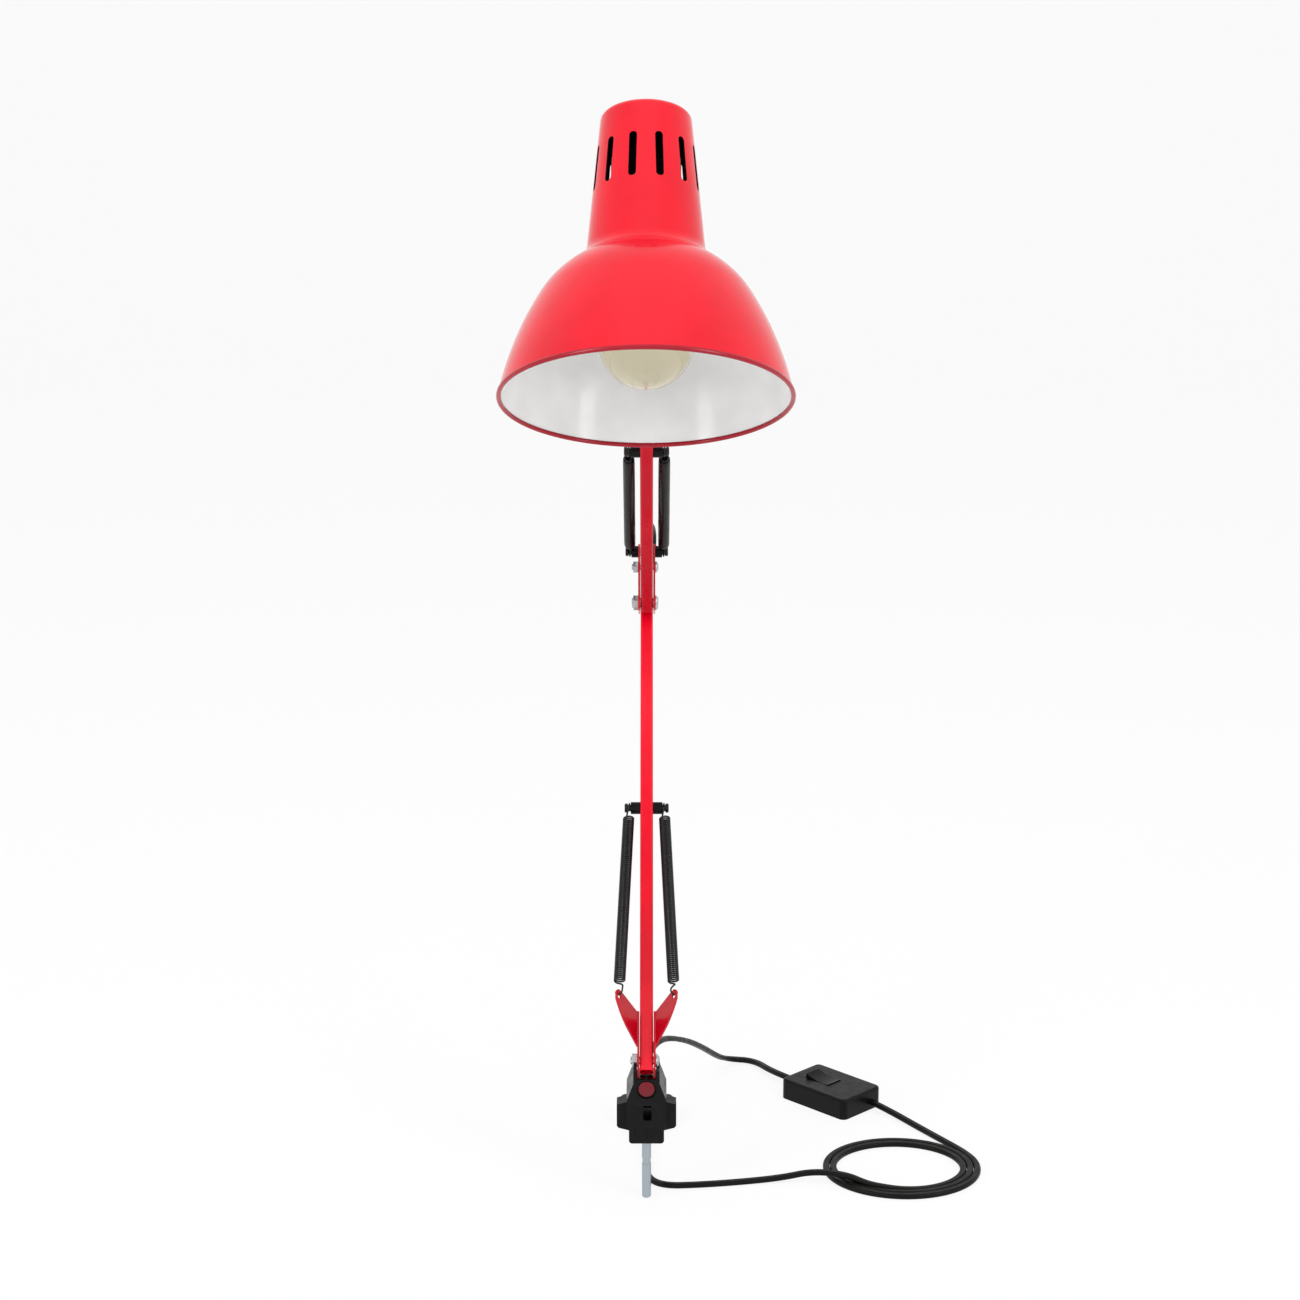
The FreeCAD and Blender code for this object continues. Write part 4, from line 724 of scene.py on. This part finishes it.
def nurbs(name, points, width, height, material="sheath"):
    """Twin lead along one smooth spline; points in millimetres."""
    curve = bpy.data.curves.new(name, "CURVE")
    curve.dimensions = "3D"
    curve.twist_mode = "Z_UP"
    curve.resolution_u = 10
    spline = curve.splines.new("NURBS")
    spline.points.add(len(points) - 1)
    for spot, point in zip(spline.points, points):
        spot.co = (*mm(*point), 1)
    spline.order_u = 3
    spline.use_endpoint_u = True
    curve.bevel_mode = "OBJECT"
    curve.bevel_object = lead_section(name + "_section", width, height)
    curve.use_fill_caps = True
    piece = put(name, curve)
    curve.materials.append(MAT[material])
    return piece


def lead_section(name, width, height):
    """Outline of a twin lead: two cores side by side with a shallow furrow between them."""
    curve = bpy.data.curves.new(name, "CURVE")
    curve.dimensions = "2D"
    spline = curve.splines.new("POLY")
    count = 28
    spline.points.add(count - 1)
    for k in range(count):
        angle = 2 * math.pi * k / count
        across, up = math.cos(angle), math.sin(angle)
        waist = 1 - 0.16 * math.exp(-(across / 0.28) ** 2)
        x = width / 2 * math.copysign(abs(across) ** 0.8, across)
        y = height / 2 * math.copysign(abs(up) ** 0.8, up) * waist
        spline.points[k].co = (x * MM, y * MM, 0, 1)
    spline.use_cyclic_u = True
    section = put(name, curve)
    section.hide_render = True
    return section


def spline_points(points, resolution=12):
    """Points along the smooth spline that has these control points, in millimetres."""
    curve = bpy.data.curves.new("route", "CURVE")
    curve.dimensions = "3D"
    curve.resolution_u = resolution
    spline = curve.splines.new("NURBS")
    spline.points.add(len(points) - 1)
    for spot, point in zip(spline.points, points):
        spot.co = (*mm(*point), 1)
    spline.order_u = 3
    spline.use_endpoint_u = True
    holder = put("route", curve)
    graph = bpy.context.evaluated_depsgraph_get()
    mesh = bpy.data.meshes.new_from_object(holder.evaluated_get(graph), depsgraph=graph)
    line = [v.co / MM for v in mesh.vertices]
    bpy.data.objects.remove(holder)
    bpy.data.meshes.remove(mesh)
    return line


LYING = -36.6
ENTRY = FLOOR + 13.5 / 2 - 1.6
LONG = Vector((math.cos(math.radians(-45)), math.sin(math.radians(-45)), 0))
WIDE = Vector((-LONG.y, LONG.x, 0))
SWITCH = Vector((120.4, 145.2, 0))
switch_in = SWITCH - LONG * 27.5 + Vector((0, 0, ENTRY))
switch_out = SWITCH + LONG * 27.5 + WIDE * 8.5 + Vector((0, 0, ENTRY))
LEAD_WIDTH, LEAD_HEIGHT = 4.2, 3.7

LEAD = [(0, 44, 30.3), (2.2, 61, 32.4), (10.6, 84, 30.6), (25.6, 122, 13.4), (37.0, 157, -6.0),
        (47.5, 187, -24.5), (54.5, 208.5, -35.0), (73.0, 209.5, LYING), tuple(switch_in - LONG * 24),
        tuple(switch_in)]


COIL_AT, COIL_REACH = (156.5, 38), (48.8, 43.6)
COIL_START, COIL_SWEEP, COIL_PITCH, COIL_LIFT = 31, 864.0, 4.4, 1.2


def coil_spot(part):
    """Point on the coil's line, from its outer end at 0 to its inner end at 1."""
    angle = math.radians(COIL_START - COIL_SWEEP * part)
    drawn = COIL_PITCH * COIL_SWEEP * part / 360
    rise = max(0.0, (part - 0.94) / 0.06)
    return Vector((COIL_AT[0] + (COIL_REACH[0] - drawn) * math.cos(angle),
                   COIL_AT[1] + (COIL_REACH[1] - drawn) * math.sin(angle), LYING + COIL_LIFT * rise ** 2))


turns = [tuple(coil_spot(k / 44)) for k in range(45)]
into = (coil_spot(0.0005) - coil_spot(0)).normalized()
over = LYING + LEAD_HEIGHT + 1.2
TAIL = [(133.2, 10.7, LYING + 1.9), (121.5, 16.6, over), (101.5, 21.4, over), (82.0, 21.4, LYING + 0.5),
        (57.0, 16.6, LYING), (32.0, 12.6, LYING), (10.0, 11.2, LYING), (0.0, 23.5, LYING), (0.6, 46.0, LYING),
        (-0.4, 66.0, LYING + 1.8), (0.0, 90.0, FLOOR + 6.8)]
REST = [tuple(switch_out), tuple(switch_out + LONG * 15 - Vector((0, 0, 1.4))), (172.6, 100.2, LYING),
        tuple(coil_spot(0) - into * 22)] + turns + TAIL

lead = nurbs("mains_lead", LEAD, LEAD_WIDTH, LEAD_HEIGHT)
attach(lead, "base")
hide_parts("cord_lead")
rest = nurbs("mains_lead_rest", REST, LEAD_WIDTH, LEAD_HEIGHT)
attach(rest, "base")
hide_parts("cord_link", "cord_coil", "cord_tail")


def strain_relief():
    """Tapered, ribbed sleeve where the lead leaves the foot."""
    profile = [(0, 0), (4.0, 0), (4.0, 1.9), (3.5, 2.4)]
    for k in range(7):
        z = 3.2 + k * 2.55
        r = 3.5 - 0.09 * k
        profile += [(r, z), (r, z + 1.5), (r - 0.7, z + 1.8), (r - 0.7, z + 2.3)]
    profile += [(2.7, 21.2), (2.5, 22), (0, 22)]
    piece = put("lead_relief", turned("lead_relief", profile, 48))
    piece.data.materials.append(MAT["sheath"])
    piece.matrix_world = Matrix.Translation(mm(0, 22, 30.3)) @ Matrix.Rotation(math.radians(-90), 4, "X")
    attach(piece, "base")
    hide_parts("cord_relief")
    return piece


relief = strain_relief()


def elbow_loop():
    """Lead from the lower arm's tube into the back of the upper arm's."""
    entry = ELBOW_HIGH + UPPER_WAY * 26
    back = Vector((0, UPPER_WAY.z, -UPPER_WAY.y))
    points = [tuple(ELBOW_REAR + LOWER_WAY * 4.2), tuple(ELBOW_REAR + LOWER_WAY * 16 + Vector((0.6, 0, 0))),
              (4.4, 243.0, 306.0), (5.0, 231.0, 325.0), (2.2, 208.0, 335.0), tuple(entry + back * 13),
              tuple(entry + back * 2)]
    line = spline_points(points)
    mesh = swept("arm_lead", line, 1.55, 14)
    piece = put("arm_lead", mesh)
    mesh.materials.append(MAT["sheath"])
    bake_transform(piece)
    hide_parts("elbow_lead")
    return piece


elbow_loop()


# ---------- floor, light and camera ----------

# Share of the backdrop that shows as plain white, and the world's level on the object and to the eye.
GLOW, WORLD_LIGHT, WORLD_SEEN = 0.86, 0.62, 1.0
CAMERA_AT, CAMERA_PITCH, CAMERA_LENS = (2.1, -1563.2, 691.9), 14, 77.54

def seen(tree):
    """1 for rays that show the surroundings to the eye: straight, mirrored or through glass."""
    path = tree.nodes.new("ShaderNodeLightPath")
    fac = path.outputs["Is Camera Ray"]
    for word in ("Is Glossy Ray", "Is Transmission Ray"):
        most = tree.nodes.new("ShaderNodeMath")
        most.operation = "MAXIMUM"
        tree.links.new(fac, most.inputs[0])
        tree.links.new(path.outputs[word], most.inputs[1])
        fac = most.outputs[0]
    return fac


def stage_surface():
    look = Shader("studio_floor", (0.93, 0.93, 0.93), 0.85)
    look.bump(look.noise(400, 2), 0.02, 0.0002)
    glow = look.node("ShaderNodeEmission", Strength=1.0)
    mix = look.node("ShaderNodeMixShader")
    look.link(look.ramp(seen(look.tree), 0, GLOW, 0, 1), mix.inputs[0])
    look.link(look.surface.outputs["BSDF"], mix.inputs[1])
    look.link(glow.outputs["Emission"], mix.inputs[2])
    look.link(mix.outputs["Shader"], look.tree.nodes["Material Output"].inputs["Surface"])
    bm = bmesh.new()
    z = FLOOR * MM
    rows = []
    for y, height in [(-6, 0), (3.2, 0)] + [(3.2 + 1.6 * math.sin(a), 1.6 - 1.6 * math.cos(a))
                                           for a in [math.pi / 2 * k / 12 for k in range(1, 13)]] + [(4.8, 7)]:
        rows.append([bm.verts.new((x, y, z + height)) for x in (-9, 9)])
    for low, high in zip(rows, rows[1:]):
        bm.faces.new((low[0], low[1], high[1], high[0])).smooth = True
    mesh = bpy.data.meshes.new("studio_floor")
    bm.to_mesh(mesh)
    bm.free()
    mesh.materials.append(look.material)
    floor = put("studio_floor", mesh)


def studio_world():
    world = bpy.data.worlds.new("studio")
    scene.world = world
    world.use_nodes = True
    tree = world.node_tree
    background = tree.nodes["Background"]
    background.inputs["Color"].default_value = (1, 1, 1, 1)
    level = tree.nodes.new("ShaderNodeMapRange")
    level.inputs["To Min"].default_value = WORLD_LIGHT
    level.inputs["To Max"].default_value = WORLD_SEEN
    tree.links.new(seen(tree), level.inputs["Value"])
    tree.links.new(level.outputs["Result"], background.inputs["Strength"])


def softbox(name, place, target, width, height, power):
    lamp = bpy.data.lights.new(name, "AREA")
    lamp.shape = "RECTANGLE"
    lamp.size, lamp.size_y = width, height
    lamp.energy = power
    piece = put(name, lamp)
    piece.location = place
    way = Vector(target) - Vector(place)
    piece.rotation_euler = way.to_track_quat("-Z", "Y").to_euler()
    return piece


stage_surface()
studio_world()
softbox("key_left", (-1.5, -1.3, 1.25), (0, 0, 0.3), 0.5, 1.5, 16)
softbox("key_right", (1.5, -1.3, 1.15), (0, 0, 0.3), 0.5, 1.5, 14)
softbox("top", (0, -0.3, 2.3), (0, 0, 0.2), 1.6, 1.6, 16).visible_glossy = False

camera = bpy.data.cameras.new("camera")
camera.lens, camera.sensor_width = CAMERA_LENS, 36
camera_piece = put("camera", camera)
camera_piece.location = mm(*CAMERA_AT)
camera_piece.rotation_euler = (math.radians(90 - CAMERA_PITCH), 0, 0)
scene.camera = camera_piece
scene.view_settings.view_transform = "Standard"

bpy.context.view_layer.update()
